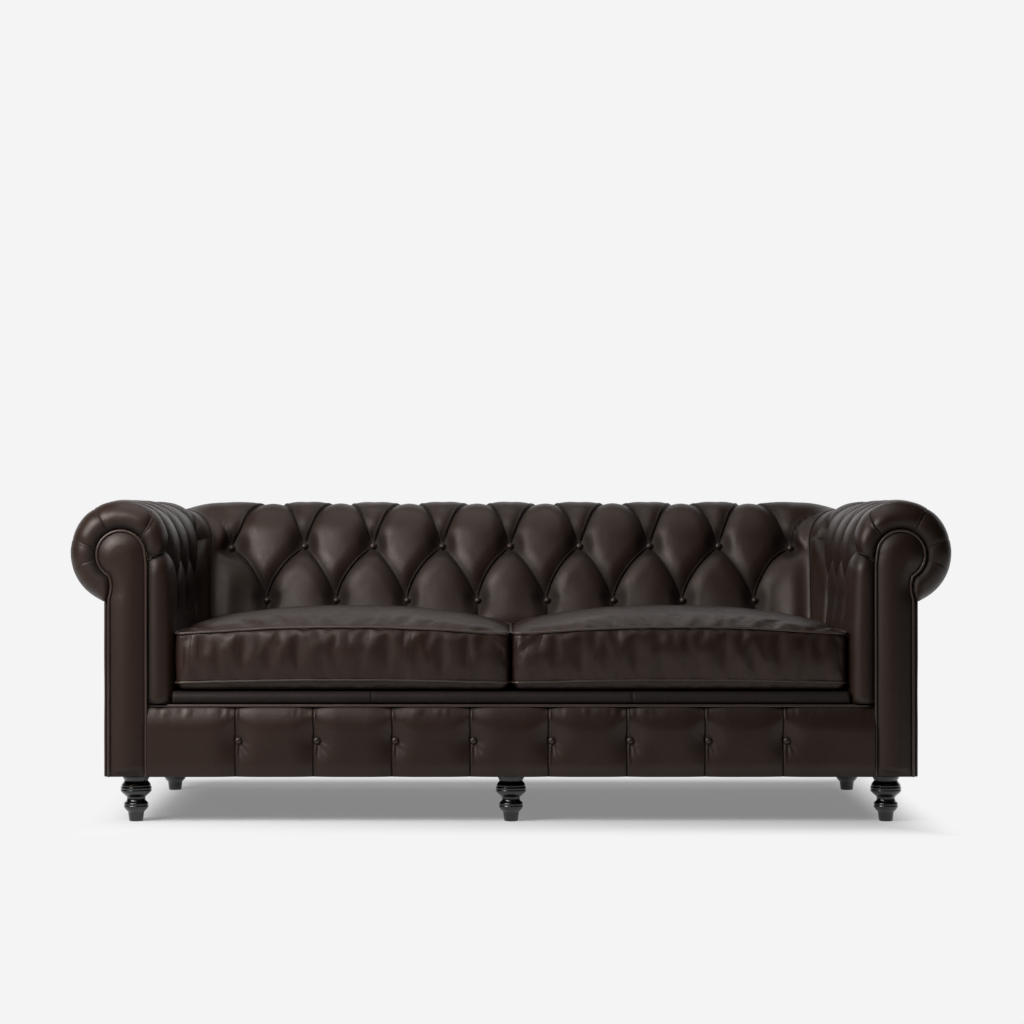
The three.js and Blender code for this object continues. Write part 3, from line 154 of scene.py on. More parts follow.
def leatherSkinGroup():  # pebbled grain, soft mottling, fine wrinkles, and painted shade that darkens the colour in creases, hollows and seams
    group, given, result = startGroup("leather skin", [
        ("Colour", colour, (0.03, 0.02, 0.018, 1)), ("Worn Colour", colour, (0.06, 0.045, 0.04, 1)),
        ("Crease", number, 0.0), ("Wrinkles", number, 0.5), ("Fold Scale", number, 24.0),
        ("Roughness", number, 0.4),
    ], [("Colour", colour), ("Roughness", number), ("Grain", number), ("Wrinkle", number)])
    place = objectPlace(group)
    pores = texture(group, cellTexture, place, Scale=620)
    mottle = texture(group, noiseTexture, place, Scale=5.5, Detail=5, Roughness=0.62)
    fine = texture(group, noiseTexture, place, Scale=90, Detail=6, Roughness=0.6, Distortion=0.6)
    stretched = addNode(group, "ShaderNodeMapping")
    stretched.inputs["Scale"].default_value = (1, 1, 0.35)
    put(group, place, stretched.inputs["Vector"])
    folds = texture(group, noiseTexture, stretched.outputs[0], Scale=given["Fold Scale"], Detail=1, Roughness=0.4,
                    Distortion=0.9)
    worn = maths(group, "MULTIPLY", ranged(group, mottle, 0.42, 0.68), 0.55)
    rubbed = mixColour(group, worn, given["Colour"], given["Worn Colour"])
    speckled = mixColour(group, ranged(group, fine, 0.35, 0.7, 0, 0.25), rubbed, (0.008, 0.005, 0.004, 1))
    # painted shade: the colour goes towards near black where the shade input is high
    shadePainted = mixColour(group, maths(group, "MULTIPLY", given["Crease"], 0.9, clamp=True), speckled,
                        (0.004, 0.003, 0.003, 1))
    put(group, shadePainted, result["Colour"])
    rough = maths(group, "ADD", given["Roughness"], ranged(group, mottle, 0.3, 0.7, 0.06, -0.05))
    rough = maths(group, "ADD", rough, ranged(group, fine, 0.3, 0.7, -0.04, 0.05))
    rough = maths(group, "ADD", rough, maths(group, "MULTIPLY", given["Crease"], 0.35))
    put(group, rough, result["Roughness"])
    put(group, ranged(group, pores, 0.0, 0.65), result["Grain"])
    ridge = maths(group, "ABSOLUTE", maths(group, "SUBTRACT", folds, 0.5))
    folded = maths(group, "MULTIPLY", ranged(group, ridge, 0.0, 0.16), given["Wrinkles"])
    put(group, maths(group, "ADD", folded, maths(group, "MULTIPLY", fine, 0.14)), result["Wrinkle"])
    return group


leatherSkin = leatherSkinGroup()
warmShine = (1, 0.9, 0.84, 1)


def leatherMaterial(name, settings):
    material, tree, shader = makeMaterial(name)
    # the painted shade each mesh carries per vertex, read from its attribute
    paintedShade = addNode(tree, "ShaderNodeAttribute", attribute_name="paintedShade").outputs["Fac"]
    skin = useGroup(tree, leatherSkin, Colour=settings["colour"], Worn_Colour=settings["worn"], Crease=paintedShade,
                    Wrinkles=settings["wrinkles"], Fold_Scale=settings["foldScale"],
                    Roughness=settings["roughness"])
    put(tree, skin["Colour"], shader.inputs["Base Color"])
    put(tree, skin["Roughness"], shader.inputs["Roughness"])
    wrinkled = bumped(tree, skin["Wrinkle"], settings["wrinkleDepth"])
    put(tree, bumped(tree, skin["Grain"], settings["grainDepth"], 0.8, wrinkled), shader.inputs["Normal"])
    shader.inputs["Specular IOR Level"].default_value = settings["gloss"]
    shader.inputs["Specular Tint"].default_value = warmShine
    return material


espresso = {
    "colour": (0.0215, 0.0100, 0.0066, 1), "worn": (0.031, 0.0165, 0.0117, 1), "roughness": 0.40,
    "wrinkles": 0.12, "foldScale": 24, "wrinkleDepth": 0.0008, "grainDepth": 0.00014, "gloss": 0.36,
}
leather = leatherMaterial("espresso leather", espresso)
cushionLeather = leatherMaterial("cushion leather", {
    **espresso, "roughness": 0.42, "wrinkles": 0.5, "foldScale": 13, "wrinkleDepth": 0.0014})
# colour and worn colour lighter than the leather it is cut from: a painted highlight on the round piping
pipingLeather = leatherMaterial("piping leather", {
    "colour": (0.036, 0.021, 0.016, 1), "worn": (0.08, 0.054, 0.044, 1), "roughness": 0.34,
    "wrinkles": 0.0, "foldScale": 24, "wrinkleDepth": 0.00008, "grainDepth": 0.00005, "gloss": 0.6,
})


# mesh helpers

def addObject(name, data):
    added = bpy.data.objects.new(name, data)
    scene.collection.objects.link(added)
    return added


def meshObject(name, bm, material=None):
    mesh = bpy.data.meshes.new(name)
    bm.to_mesh(mesh)
    bm.free()
    if material:
        mesh.materials.append(material)
    return addObject(name, mesh)


def newPiece(name, bm, material, body, replaced):
    for face in bm.faces:
        face.smooth = True
    piece = meshObject(name, bm, material)
    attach(piece, body)
    if replaced:
        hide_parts(*replaced)
    return piece


def grid(columns, rows):  # a flat grid, given back with its vertices by column and row
    bm = bmesh.new()
    # every vertex gets a painted shade value, used by the leather's colour
    bm.verts.layers.float.new("paintedShade")
    bmesh.ops.create_grid(bm, x_segments=columns, y_segments=rows, size=1)
    places = {}
    for vert in bm.verts:
        column = round((vert.co.x + 1) / 2 * columns)
        row = round((vert.co.y + 1) / 2 * rows)
        places[column, row] = vert
    return bm, places


def mix(first, second, share):
    return first + (second - first) * share


def bell(value, width):
    return math.exp(-((value / width) ** 2))


def waver(x, y, z):  # smooth unevenness, between -1 and 1
    return noise.noise(Vector((x, y, z)))


def clamped(value):
    return min(1, max(0, value))


def smoothstep(value, low, high):
    share = clamped((value - low) / (high - low))
    return share * share * (3 - 2 * share)


# padding of the arms and the back

padding = {
    "rollRadius": 0.125, "rollEnd": math.radians(250), "rollX": 0.975, "rollY": 0.35, "rollZ": 0.675,
    "bottom": 0.300, "seatLevel": 0.490, "armInset": 0.132, "backInset": 0.200,
    "innerCorner": 0.130, "outerCorner": 0.190, "cornerEase": 0.0325,
    "frontStart": -0.4167, "frontRounding": 0.0565, "frontRun": 0.0785, "frontTurn": math.radians(122),
}


def makeSection(inset):
    rise = padding["rollZ"] - padding["seatLevel"]
    radius = padding["rollRadius"]
    reach = math.hypot(inset, rise)
    lean = math.atan2(rise, inset) + math.asin(radius / reach)
    start = math.pi / 2 - lean
    legs = [padding["seatLevel"] - padding["bottom"], math.sqrt(reach ** 2 - radius ** 2),
            radius * (padding["rollEnd"] - start)]
    return {"inset": inset, "lean": lean, "start": start, "legs": legs, "end": sum(legs)}


armSection = makeSection(padding["armInset"])
backSection = makeSection(padding["backInset"])


def sectionPoint(section, station, height):  # offset outward from the roll's middle, and height
    leg = min(2, int(station))
    along = (station - leg) * section["legs"][leg]
    if leg == 0:
        return -section["inset"] - height, padding["bottom"] + along
    if leg == 1:
        alongX, alongZ = math.cos(section["lean"]), math.sin(section["lean"])
        return (-section["inset"] + along * alongX - height * alongZ,
                padding["seatLevel"] + along * alongZ + height * alongX)
    angle = section["start"] + along / padding["rollRadius"]
    radius = padding["rollRadius"] + height
    return -radius * math.cos(angle), padding["rollZ"] + radius * math.sin(angle)


def stationAt(section, length):
    leg = 0
    while leg < 2 and length > section["legs"][leg]:
        length -= section["legs"][leg]
        leg += 1
    return leg + length / section["legs"][leg]


def lengthAtHeight(section, height):
    first, second = section["legs"][:2]
    if height <= padding["seatLevel"] + second * math.sin(section["lean"]):
        return first + (height - padding["seatLevel"]) / math.sin(section["lean"])
    angle = math.asin((height - padding["rollZ"]) / padding["rollRadius"])
    return first + second + padding["rollRadius"] * (angle - section["start"])


mitreArc = padding["innerCorner"] * math.pi / 4
backCornerStart = padding["rollX"] - padding["armInset"] - padding["outerCorner"] + padding["rollRadius"] / 2
armCornerStart = padding["rollY"] - padding["backInset"] - padding["innerCorner"] - padding["cornerEase"]
backMitre = padding["rollX"] - padding["rollRadius"] - padding["innerCorner"] + mitreArc
armMitre = padding["rollY"] - padding["rollRadius"] - padding["innerCorner"] + mitreArc


def cornerWalk(ownMiddle, otherMiddle, ownOffset, otherOffset, radius, start, share):
    straight = otherMiddle + otherOffset - radius - start
    walked = share * (straight + radius * math.pi / 4)
    if walked < straight:
        return start + walked, ownMiddle + ownOffset
    turned = (walked - straight) / radius
    return (otherMiddle + otherOffset - radius + radius * math.sin(turned),
            ownMiddle + ownOffset - radius + radius * math.cos(turned))


def paddingPoint(part, run, station, height):  # x is taken positive for the arm
    armOffset, armZ = sectionPoint(armSection, station, height)
    backOffset, backZ = sectionPoint(backSection, station, height)
    outward = (armOffset + backOffset) / 2 + padding["rollRadius"]
    radius = mix(padding["innerCorner"], padding["outerCorner"], clamped(outward / (2 * padding["rollRadius"])))
    rollX, rollY = padding["rollX"], padding["rollY"]
    if part == "arm":
        z = mix(armZ, backZ, smoothstep(run, armCornerStart, armMitre) / 2)
        if run <= armCornerStart:
            return Vector((rollX + armOffset, run, z))
        share = (run - armCornerStart) / (armMitre - armCornerStart)
        y, x = cornerWalk(rollX, rollY, armOffset, backOffset, radius, armCornerStart, share)
        return Vector((x, y, z))
    distance = abs(run)
    z = mix(backZ, armZ, smoothstep(distance, backCornerStart, backMitre) / 2)
    if distance <= backCornerStart:
        return Vector((run, rollY + backOffset, z))
    share = (distance - backCornerStart) / (backMitre - backCornerStart)
    x, y = cornerWalk(rollY, rollX, backOffset, armOffset, radius, backCornerStart, share)
    return Vector((math.copysign(x, run), y, z))


facing = {
    "innerX": 0.905, "outerX": 1.004, "headX": 0.971, "headZ": 0.670, "headRadius": 0.063,
    "neckX": 0.992, "neckZ": 0.596, "shoulderZ": 0.560, "headEnd": math.radians(-60),
    "neckShare": 0.93, "bottom": 0.1173, "lip": 0.0006,
}


def bezier(first, pull, last, share):
    return mix(mix(first, pull, share), mix(pull, last, share), share)


def facingHead(angle, spread):
    radius = facing["headRadius"] + spread
    return Vector((facing["headX"] + radius * math.cos(angle), facing["headZ"] + radius * math.sin(angle)))


def facingNeck(spread, share):  # from the head down and out to the straight outer edge
    neck = Vector((facing["neckX"] + spread, facing["neckZ"]))
    shoulder = Vector((facing["outerX"] + spread, facing["shoulderZ"]))
    return bezier(facingHead(facing["headEnd"], spread), neck, shoulder, share)


def facingEdge(station, spread):  # where the arm's leather comes round to the facing
    if station <= 2:
        return facing["innerX"] - spread, min(sectionPoint(armSection, station, 0)[1], facing["headZ"])
    share = (station - 2) / facing["neckShare"]
    if share <= 1:
        return facingHead(mix(math.pi, facing["headEnd"], share), spread)
    return facingNeck(spread, (station - 2 - facing["neckShare"]) / (1 - facing["neckShare"]))


def armPoint(run, station, height):  # past frontStart the leather rounds in to the facing
    if run >= padding["frontStart"]:
        return paddingPoint("arm", run, station, height)
    angle = min(1, (padding["frontStart"] - run) / padding["frontRun"]) * padding["frontTurn"]
    full = paddingPoint("arm", padding["frontStart"], station, 0)
    outward = paddingPoint("arm", padding["frontStart"], station, 1) - full
    edgeX, edgeZ = facingEdge(station, facing["lip"])
    share = (math.cos(angle) - math.cos(padding["frontTurn"])) / (1 - math.cos(padding["frontTurn"]))
    base = Vector((mix(edgeX, full.x, share), padding["frontStart"] - padding["frontRounding"] * math.sin(angle),
                   mix(edgeZ, full.z, share)))
    return base + (outward * share + Vector((0, -1, 0)) * math.sin(angle)) * height * min(1, share * 5)


# deep buttoning

tufting = {
    "pleatDepth": 0.0125, "buttonDepth": 0.0255, "pillowReach": 0.046, "pillowPower": 2.2, "fullness": 0.0045,
    "dimpleReach": 0.047, "lowerDimple": 1.25, "dimplePower": 1.7, "dimpleSpan": 0.2, "dimpleShare": 0.4,
    "upperZ": 0.694, "lowerZ": 0.545, "meetingShare": 0.549, "bows": (1.2, 1.65), "crowd": 0.2,
    "lipHeight": 0.0023, "lipWidth": 0.0054, "underLip": 0.4, "underReach": 0.006,
    "grooveDepth": 0.0034, "grooveWidth": 0.0010, "grooveShift": 0.0003, "lineShade": 0.5, "lineWidth": 0.0009,
    "stepHeight": 0.0062, "stepReach": 0.085, "underStep": 0.3, "underStepReach": 0.03,
    "clearReach": 0.014, "buttonShade": 0.6, "buttonShadeReach": 0.016, "cavityShade": 0.8,
    "seamDepth": 0.013, "seamReach": 0.030, "seamShadeReach": 0.003, "seatReach": 0.0095, "seatDepth": 0.0305,
    "unevenness": 0.0013, "turnedShade": 0.75, "cells": 30, "straightRows": 16, "lastRows": 18, "endColumns": 26,
    "frontColumns": 48, "cutBack": 0.0006, "leather": 0.003, "pleatSpan": 0.07, "bowSteps": 7,
    "endPleat": (1.3, 0.012), "frontDrop": 0.036, "cornerPleat": (-0.012, 0.075), "driftEase": 0.02,
    "foldRows": (-0.008, -0.0045, -0.0025, -0.0012, 0, 0.0012, 0.0025, 0.0045, 0.008), "rowGap": 0.0006,
    "foldPull": 0.022, "turnedShares": (0.62, 0.98),
}
buttonGather = {"from": 0.026, "length": 0.013, "width": 0.0095, "height": 0.0022, "waves": 1100}
turnGather = {"span": 0.03, "grooveWidth": 0.0014, "groove": 0.0030, "ridgeAt": 0.0035, "ridgeWidth": 0.003,
              "ridge": 0.0022, "valleyReach": 0.012, "valley": 0.0040}


def nearPleats(pleats, width):  # pleats sorted into columns, so that each point tries only a few
    columns = {}
    for pleat in pleats:
        runs = [run for run, length in pleat[0]]
        first = math.floor((min(runs) - tufting["pleatSpan"]) / width)
        last = math.floor((max(runs) + tufting["pleatSpan"]) / width)
        for column in range(first, last + 1):
            columns.setdefault(column, []).append(pleat)
    return lambda run: columns.get(math.floor(run / width), pleats)


def makePattern(section, pitch, firstUpper, upperCount, front=None):
    half = pitch / 2
    upper = lengthAtHeight(section, tufting["upperZ"])
    lower = lengthAtHeight(section, tufting["lowerZ"])
    end = section["end"]
    meeting = mix(upper, end, tufting["meetingShare"])
    uppers = [firstUpper + index * pitch for index in range(upperCount)]
    lowers = [run + half for run in uppers[:-1]]
    pleats = []  # points of each, the side that is folded over, its step, how crisp and how deep its ends are

    def pleat(points, side, step=0, crisp=(1, 1), deep=(1, 1)):
        pleats.append((points, side, step, crisp, deep))

    bowSteps = tufting["bowSteps"]
    endReach, endDrop = half * tufting["endPleat"][0], tufting["endPleat"][1]
    for index, run in enumerate(uppers):
        for direction in (-1, 1):
            # the panel above a button lies over its neighbours, and so does the full diamond below
            if front is None or index or direction > 0:
                pleat([(run, upper), (run + direction * half, meeting)], direction, 1, (1, 0.9), (1, 0.4))
            if 0 <= index + direction < upperCount:
                bow = tufting["bows"][direction < 0]
                points = []
                for step in range(bowSteps + 1):
                    share = step / bowSteps
                    points.append((run + direction * half * (1 - share ** bow), mix(lower, upper, share)))
                pleat(points, -direction)
    for run in [uppers[0] - half] * (front is None) + [run + half for run in uppers]:
        pleat([(run, meeting), (run, end)], 1, 0, (0.9, 0.8), (0.6, 0.6))
    for run in lowers:
        pleat([(run, lower), (run, 0)], 1, 0, (1, 0.8))
    pleat([(uppers[-1], upper), (uppers[-1] + endReach, upper - endDrop)], -1, 0, (1, 0.6))
    if front is None:
        pleat([(uppers[0], upper), (uppers[0] - endReach, upper - endDrop)], 1, 0, (1, 0.6))
    else:
        pleat([(uppers[0], upper), (front, upper - tufting["frontDrop"])], -1)
        cornerRun, cornerRise = tufting["cornerPleat"]
        pleat([(uppers[0], upper), (uppers[0] + cornerRun, upper + cornerRise)], -1, 0.5, (1, 0), (1, 0))
    return {"section": section, "half": half, "upper": upper, "lower": lower, "meeting": meeting, "end": end,
            "uppers": uppers, "buttons": [(run, upper) for run in uppers] + [(run, lower) for run in lowers],
            "pleats": pleats, "near": nearPleats(pleats, half), "gathers": [], "followed": []}


def toPolyline(points, run, length):  # distance, the side it lies on, and how far along the line
    best, cross, along = 9.0, 0.0, 0.0
    for index in range(len(points) - 1):
        (runA, lengthA), (runB, lengthB) = points[index], points[index + 1]
        stepRun, stepLength = runB - runA, lengthB - lengthA
        share = ((run - runA) * stepRun + (length - lengthA) * stepLength) / (stepRun ** 2 + stepLength ** 2)
        held = clamped(share)
        gapRun, gapLength = run - runA - held * stepRun, length - lengthA - held * stepLength
        distance = math.hypot(gapRun, gapLength)
        if distance < best:
            best, cross = distance, stepRun * gapLength - stepLength * gapRun
            along = (index + held) / (len(points) - 1)
    return best, cross, along


def buttonHollow(pattern, run, length):  # 1 at a button, and less away from it
    hollow = 0
    for buttonRun, buttonLength in pattern["buttons"]:
        if abs(run - buttonRun) < tufting["dimpleSpan"]:
            reach = tufting["dimpleReach"] * (1 if buttonLength == pattern["upper"] else tufting["lowerDimple"])
            distance = math.hypot(run - buttonRun, length - buttonLength)
            hollow += math.exp(-((distance / reach) ** tufting["dimplePower"]))
    return min(1, hollow)


def foldHeight(signed, step):  # over the folded edge, round and as wide as the lip, or under it
    if signed < 0:
        lip = -tufting["lipHeight"] * tufting["underLip"] * math.exp(signed / tufting["underReach"])
        fall = tufting["stepHeight"] * tufting["underStep"] * math.exp(signed / tufting["underStepReach"])
        return lip - step * fall
    across = min(1, signed / tufting["lipWidth"])
    lip = tufting["lipHeight"] * math.sqrt(max(0, 1 - (1 - 2 * min(across, 0.5)) ** 2))
    lip *= 1 if across < 0.5 else (1 + math.cos((across - 0.5) * math.tau)) / 2
    return lip + step * tufting["stepHeight"] * bell(signed, tufting["stepReach"])


def gatherAtButton(pattern, button, alongRun, alongLength):  # up from an upper button, sideways from a lower one
    upper = button[1] == pattern["upper"]
    away, across = (alongLength, alongRun) if upper else (abs(alongRun), alongLength)
    share = bell(away - buttonGather["from"], buttonGather["length"]) * bell(across, buttonGather["width"])
    return buttonGather["height"] * share * math.sin(across * buttonGather["waves"] + button[0] * 40 + 25 * away)


def gatherAtTurn(pattern, run, length):  # height and shade of the folds where the leather turns to the facing
    height = shade = 0
    for points, side, size, strengths in pattern["gathers"]:
        distance, cross, along = toPolyline(points, run, length)
        if distance < turnGather["span"]:
            power = size * mix(*strengths, along)
            ahead = math.copysign(distance, cross * side)
            groove = bell(ahead, turnGather["grooveWidth"])
            height += power * (turnGather["ridge"] * bell(ahead - turnGather["ridgeAt"], turnGather["ridgeWidth"])
                               - turnGather["groove"] * groove
                               - turnGather["valley"] * bell(distance, turnGather["valleyReach"]))
            shade = max(shade, power * groove)
    return height, shade


def tuft(pattern, run, length, toMitre):  # height of the leather there, and the painted shade there: darker in creases, in the hollows round buttons, at the turn to the facing and at the mitre seam
    nearest, signed, strength, step, pillow = 9.0, 9.0, 0.0, 0.0, 1.0
    for points, side, stepped, crisp, deep in pattern["near"](run):
        distance, cross, along = toPolyline(points, run, length)
        away = min(1, distance / tufting["pillowReach"])
        pillow *= 1 - mix(*deep, along) * (1 - away) ** tufting["pillowPower"]
        if distance < nearest:
            nearest, strength, step = distance, mix(*crisp, along), stepped * smoothstep(along, 0, 0.8)
            signed = math.copysign(distance, cross * side) if cross else 0.0
    button = min(pattern["buttons"], key=lambda each: math.hypot(run - each[0], length - each[1]))
    alongRun, alongLength = run - button[0], length - button[1]
    fromButton = math.hypot(alongRun, alongLength)
    hollow = buttonHollow(pattern, run, length)
    height = tufting["fullness"] - tufting["pleatDepth"] * (1 - pillow)
    height -= tufting["buttonDepth"] * hollow * (1 - tufting["dimpleShare"] * pillow)
    groove = bell(signed + tufting["grooveShift"], tufting["grooveWidth"])
    clear = (1 - bell(fromButton, tufting["clearReach"])) * strength
    height += (foldHeight(signed, step) - tufting["grooveDepth"] * groove) * clear
    seat = math.exp(-((fromButton / tufting["seatReach"]) ** 4))  # the flat place a button sits in
    height = mix(height, -tufting["seatDepth"], seat)
    height += gatherAtButton(pattern, button, alongRun, alongLength)
    height += tufting["unevenness"] * waver(run * 14, length * 11, 7.7)
    turned, turnedShade = gatherAtTurn(pattern, run, length)
    # painted shade, not the leather's colour: dark lines along the pleats, darkening round the buttons, in the
    # hollows and at the mitre seam
    line = tufting["lineShade"] * bell(signed - tufting["lipWidth"], tufting["lineWidth"])
    atButton = tufting["buttonShade"] * bell(fromButton, tufting["buttonShadeReach"])
    cavity = tufting["cavityShade"] * max((1 - pillow) ** 1.6, hollow ** 1.3)
    paintedShade = max(strength * max(groove, line, atButton), cavity, turnedShade)
    seam = bell(toMitre, tufting["seamReach"])
    edge = bell(toMitre, tufting["seamShadeReach"])
    return mix(height + turned, -tufting["seamDepth"], seam), min(1, paintedShade * (1 - seam) + edge)


def drift(pattern, run, length):  # the leather's small unevenness from button to button
    table = pattern.get("drifts")
    if not table:
        return 0
    cell = (run - pattern["uppers"][0]) / pattern["half"]
    index = math.floor(cell)
    share = cell - index
    rise = smoothstep(length, pattern["lower"] - tufting["driftEase"], pattern["upper"] + tufting["driftEase"])
    return sum(table[each] * (1 - rise if each % 2 else rise) * part
               for each, part in ((index, 1 - share), (index + 1, share)) if 0 <= each < len(table))


def crowdTo(share, target):  # moves a share of a cell's width towards the pleat that crosses it
    crowd = tufting["crowd"]
    if share <= target:
        part = (target - share) / target if target > 0 else 0
        return -1, part * (crowd + (1 - crowd) * part)
    part = (share - target) / (1 - target) if target < 1 else 0
    return 1, part * (crowd + (1 - crowd) * part)


def followed(points, run):  # how far a fold has moved over the section since its inner end
    for (runA, lengthA), (runB, lengthB) in zip(points, points[1:]):
        if run <= runB:
            return mix(lengthA, lengthB, max(0, (run - runA) / (runB - runA))) - points[-1][1]
    return 0


def coverRows(pattern, folds):  # length over the section, where the pleat crosses a cell, and the power of its bow
    cells, straightRows, lastRows = tufting["cells"], tufting["straightRows"], tufting["lastRows"]
    lower, upper, meeting, end = (pattern[name] for name in ("lower", "upper", "meeting", "end"))
    rows = [(lower * step / straightRows, 0, None) for step in range(straightRows)]
    rows += [(mix(lower, upper, step / cells), step / cells, tufting["bows"]) for step in range(cells)]
    rows += [(mix(upper, meeting, step / cells), 1 - step / cells, (1, 1)) for step in range(cells)]
    rows += [(mix(meeting, end, step / lastRows), 0, None) for step in range(lastRows + 1)]
    for points in folds:
        for offset in tufting["foldRows"]:
            place = points[-1][1] + offset
            nearestRow = min(rows, key=lambda row: abs(row[0] - place))
            if abs(nearestRow[0] - place) > tufting["rowGap"]:
                whole = (place - upper) / (meeting - upper)
                rows.append((place, 1 - whole, (1, 1)) if 0 <= whole <= 1 else (place, *nearestRow[1:]))
    return sorted(rows, key=lambda row: row[0])


def crowdedRun(pattern, run, target, bows):  # columns crowd at the pleats; also tells if this one lies on a pleat
    first, half = pattern["uppers"][0], pattern["half"]
    cell = (run - first) / half
    index = math.floor(cell + 1e-6)
    if not 0 <= index < 2 * (len(pattern["uppers"]) - 1):
        return run, False
    share = clamped(cell - index)
    fromLower = share if index % 2 else 1 - share
    bowed = target ** bows[index % 2] if bows else target
    side, moved = crowdTo(fromLower, target)
    placed = bowed * (1 - moved) if side < 0 else bowed + (1 - bowed) * moved
    onPleat = bool(bows) and abs(fromLower - target) < 1e-6
    if onPleat:
        placed = bowed
    return first + half * (index + (placed if index % 2 else 1 - placed)), onPleat


def tuftedCover(part, pattern, columnPlan):
    folds = [points for points, side, size, strengths in pattern["gathers"]] + pattern["followed"]
    rows = coverRows(pattern, folds)
    mitre = armMitre if part == "arm" else backMitre
    bm, places = grid(len(columnPlan) - 1, len(rows) - 1)
    layer = bm.verts.layers.float["paintedShade"]
    creaseVerts = []
    for (column, row), vert in places.items():
        length, target, bows = rows[row]
        run, onPleat = crowdedRun(pattern, columnPlan[column], target, bows)
        if onPleat:
            creaseVerts.append(vert)
        length += sum(followed(points, run) * bell(length - points[-1][1], tufting["foldPull"])
                      for points in folds)  # the rows bend along with the folds
        toMitre = mitre - (run if part == "arm" else abs(run))
        height, paintedShade = tuft(pattern, run, length, max(0, toMitre))
        station = stationAt(pattern["section"], length)
        run += drift(pattern, run, length)
        vert.co = armPoint(run, station, height) if part == "arm" else paddingPoint("back", run, station, height)
        # painted shade deepens where the leather turns in to the facing
        turned = (padding["frontStart"] - run) / padding["frontRun"] if part == "arm" else 0
        vert[layer] = max(paintedShade, tufting["turnedShade"] * smoothstep(turned, *tufting["turnedShares"]))
    bmesh.ops.connect_verts(bm, verts=creaseVerts)
    bmesh.ops.recalc_face_normals(bm, faces=bm.faces)
    return bm


def mirrorOver(bm):
    bmesh.ops.scale(bm, vec=(-1, 1, 1), verts=bm.verts)
    bmesh.ops.reverse_faces(bm, faces=bm.faces)


def bothSides(name, build, material, replacedStem):
    made = []
    first = build()
    for sideName, sign in (("right", 1), ("left", -1)):
        bm = first.copy() if sign > 0 else first
        if sign < 0:
            mirrorOver(bm)
        nodes = [f"{stem}_{sideName}" for stem in replacedStem]
        made.append(newPiece(f"{name}_{sideName}", bm, material, "sofa", nodes))
    return made


def facesOut(bm, probe, direction):  # turns an open sheet so that it faces the given way
    bm.faces.ensure_lookup_table()
    face = min(bm.faces, key=lambda each: (each.calc_center_median() - probe).length)
    face.normal_update()
    if face.normal.dot(direction) < 0:
        bmesh.ops.reverse_faces(bm, faces=bm.faces)


def thicken(piece):
    wall = piece.modifiers.new("leather wall", "SOLIDIFY")
    wall.thickness = tufting["leather"]
    wall.offset = -1


def coverColumns(pattern, start, startColumns, edge):  # evenly over the cells, and on to both ends
    cells, endColumns = tufting["cells"], tufting["endColumns"]
    first, last = pattern["uppers"][0], pattern["uppers"][-1]
    step = pattern["half"] / cells
    columns = [mix(start, first, index / startColumns) for index in range(startColumns)]
    columns += [first + index * step for index in range(2 * (len(pattern["uppers"]) - 1) * cells)]
    return columns + [mix(last, edge, index / endColumns) for index in range(endColumns + 1)]


backPitch = 0.191
backPattern = makePattern(backSection, backPitch, -4 * backPitch, 9)
backPattern["drifts"] = [share / 1000 for share in (0, -4, 0, -4, -1, 0, 0, 4, -2, 4, -1, -4, 2, -5, 3, 3, -1)]
backEdge = backMitre - tufting["cutBack"]
bm = tuftedCover("back", backPattern, coverColumns(backPattern, -backEdge, tufting["endColumns"], backEdge))
facesOut(bm, Vector((0, 0.15, 0.4)), Vector((0, -1, 0)))
backCover = newPiece("backCover", bm, leather, "sofa", ("back_cover",))
thicken(backCover)
print("back cover:", len(backCover.data.polygons), "faces")


def rollAngle(degrees):
    turned = math.radians(degrees) - armSection["start"]
    return armSection["legs"][0] + armSection["legs"][1] + padding["rollRadius"] * turned


frontEdge = padding["frontStart"] - padding["frontRun"]
armPattern = makePattern(armSection, 0.1727, -0.380, 4, frontEdge)
armPattern["gathers"] = [  # short folds where the leather turns round the roll to the facing
    ([(frontEdge, rollAngle(117)), (-0.455, rollAngle(118.5)), (-0.425, rollAngle(122)),
      (-0.400, rollAngle(124))], -1, 1.0, (1, 0.2)),
    ([(frontEdge, rollAngle(45)), (-0.465, rollAngle(45)), (-0.437, rollAngle(50)), (-0.430, rollAngle(54))],
     -1, 1.2, (1, 0.3)),
    ([(frontEdge, rollAngle(162)), (-0.450, rollAngle(163)), (-0.405, rollAngle(167))], 1, 0.9, (1, 0.2)),
    ([(frontEdge, rollAngle(188)), (-0.462, rollAngle(194)), (-0.440, rollAngle(201))], 1, 0.5, (1, 0)),
]
armPattern["followed"] = [[(frontEdge, armPattern["upper"] - tufting["frontDrop"]),
                           (armPattern["uppers"][0], armPattern["upper"])]]


def armSheet():
    columns = coverColumns(armPattern, frontEdge, tufting["frontColumns"], armMitre - tufting["cutBack"])
    sheet = tuftedCover("arm", armPattern, columns)
    facesOut(sheet, Vector((0.843, -0.2, 0.4)), Vector((-1, 0, 0)))
    return sheet


for piece in bothSides("armCover", armSheet, leather, ("arm_cover",)):
    thicken(piece)
print("arm covers made")


# covered buttons

buttonShape = {"radius": 0.009, "height": 0.0066, "sink": 0.0275, "cut": -0.45}


def coveredButton(bm, place, outward):
    verts = bmesh.ops.create_uvsphere(bm, u_segments=20, v_segments=10, radius=1)["verts"]
    for vert in verts:
        x, y, z = vert.co
        flat = max(z, buttonShape["cut"])
        vert.co = Vector((x * buttonShape["radius"], y * buttonShape["radius"], flat * buttonShape["height"]))
    turn = Vector((0, 0, 1)).rotation_difference(outward).to_matrix().to_4x4()
    bmesh.ops.transform(bm, matrix=Matrix.Translation(place) @ turn, verts=verts)


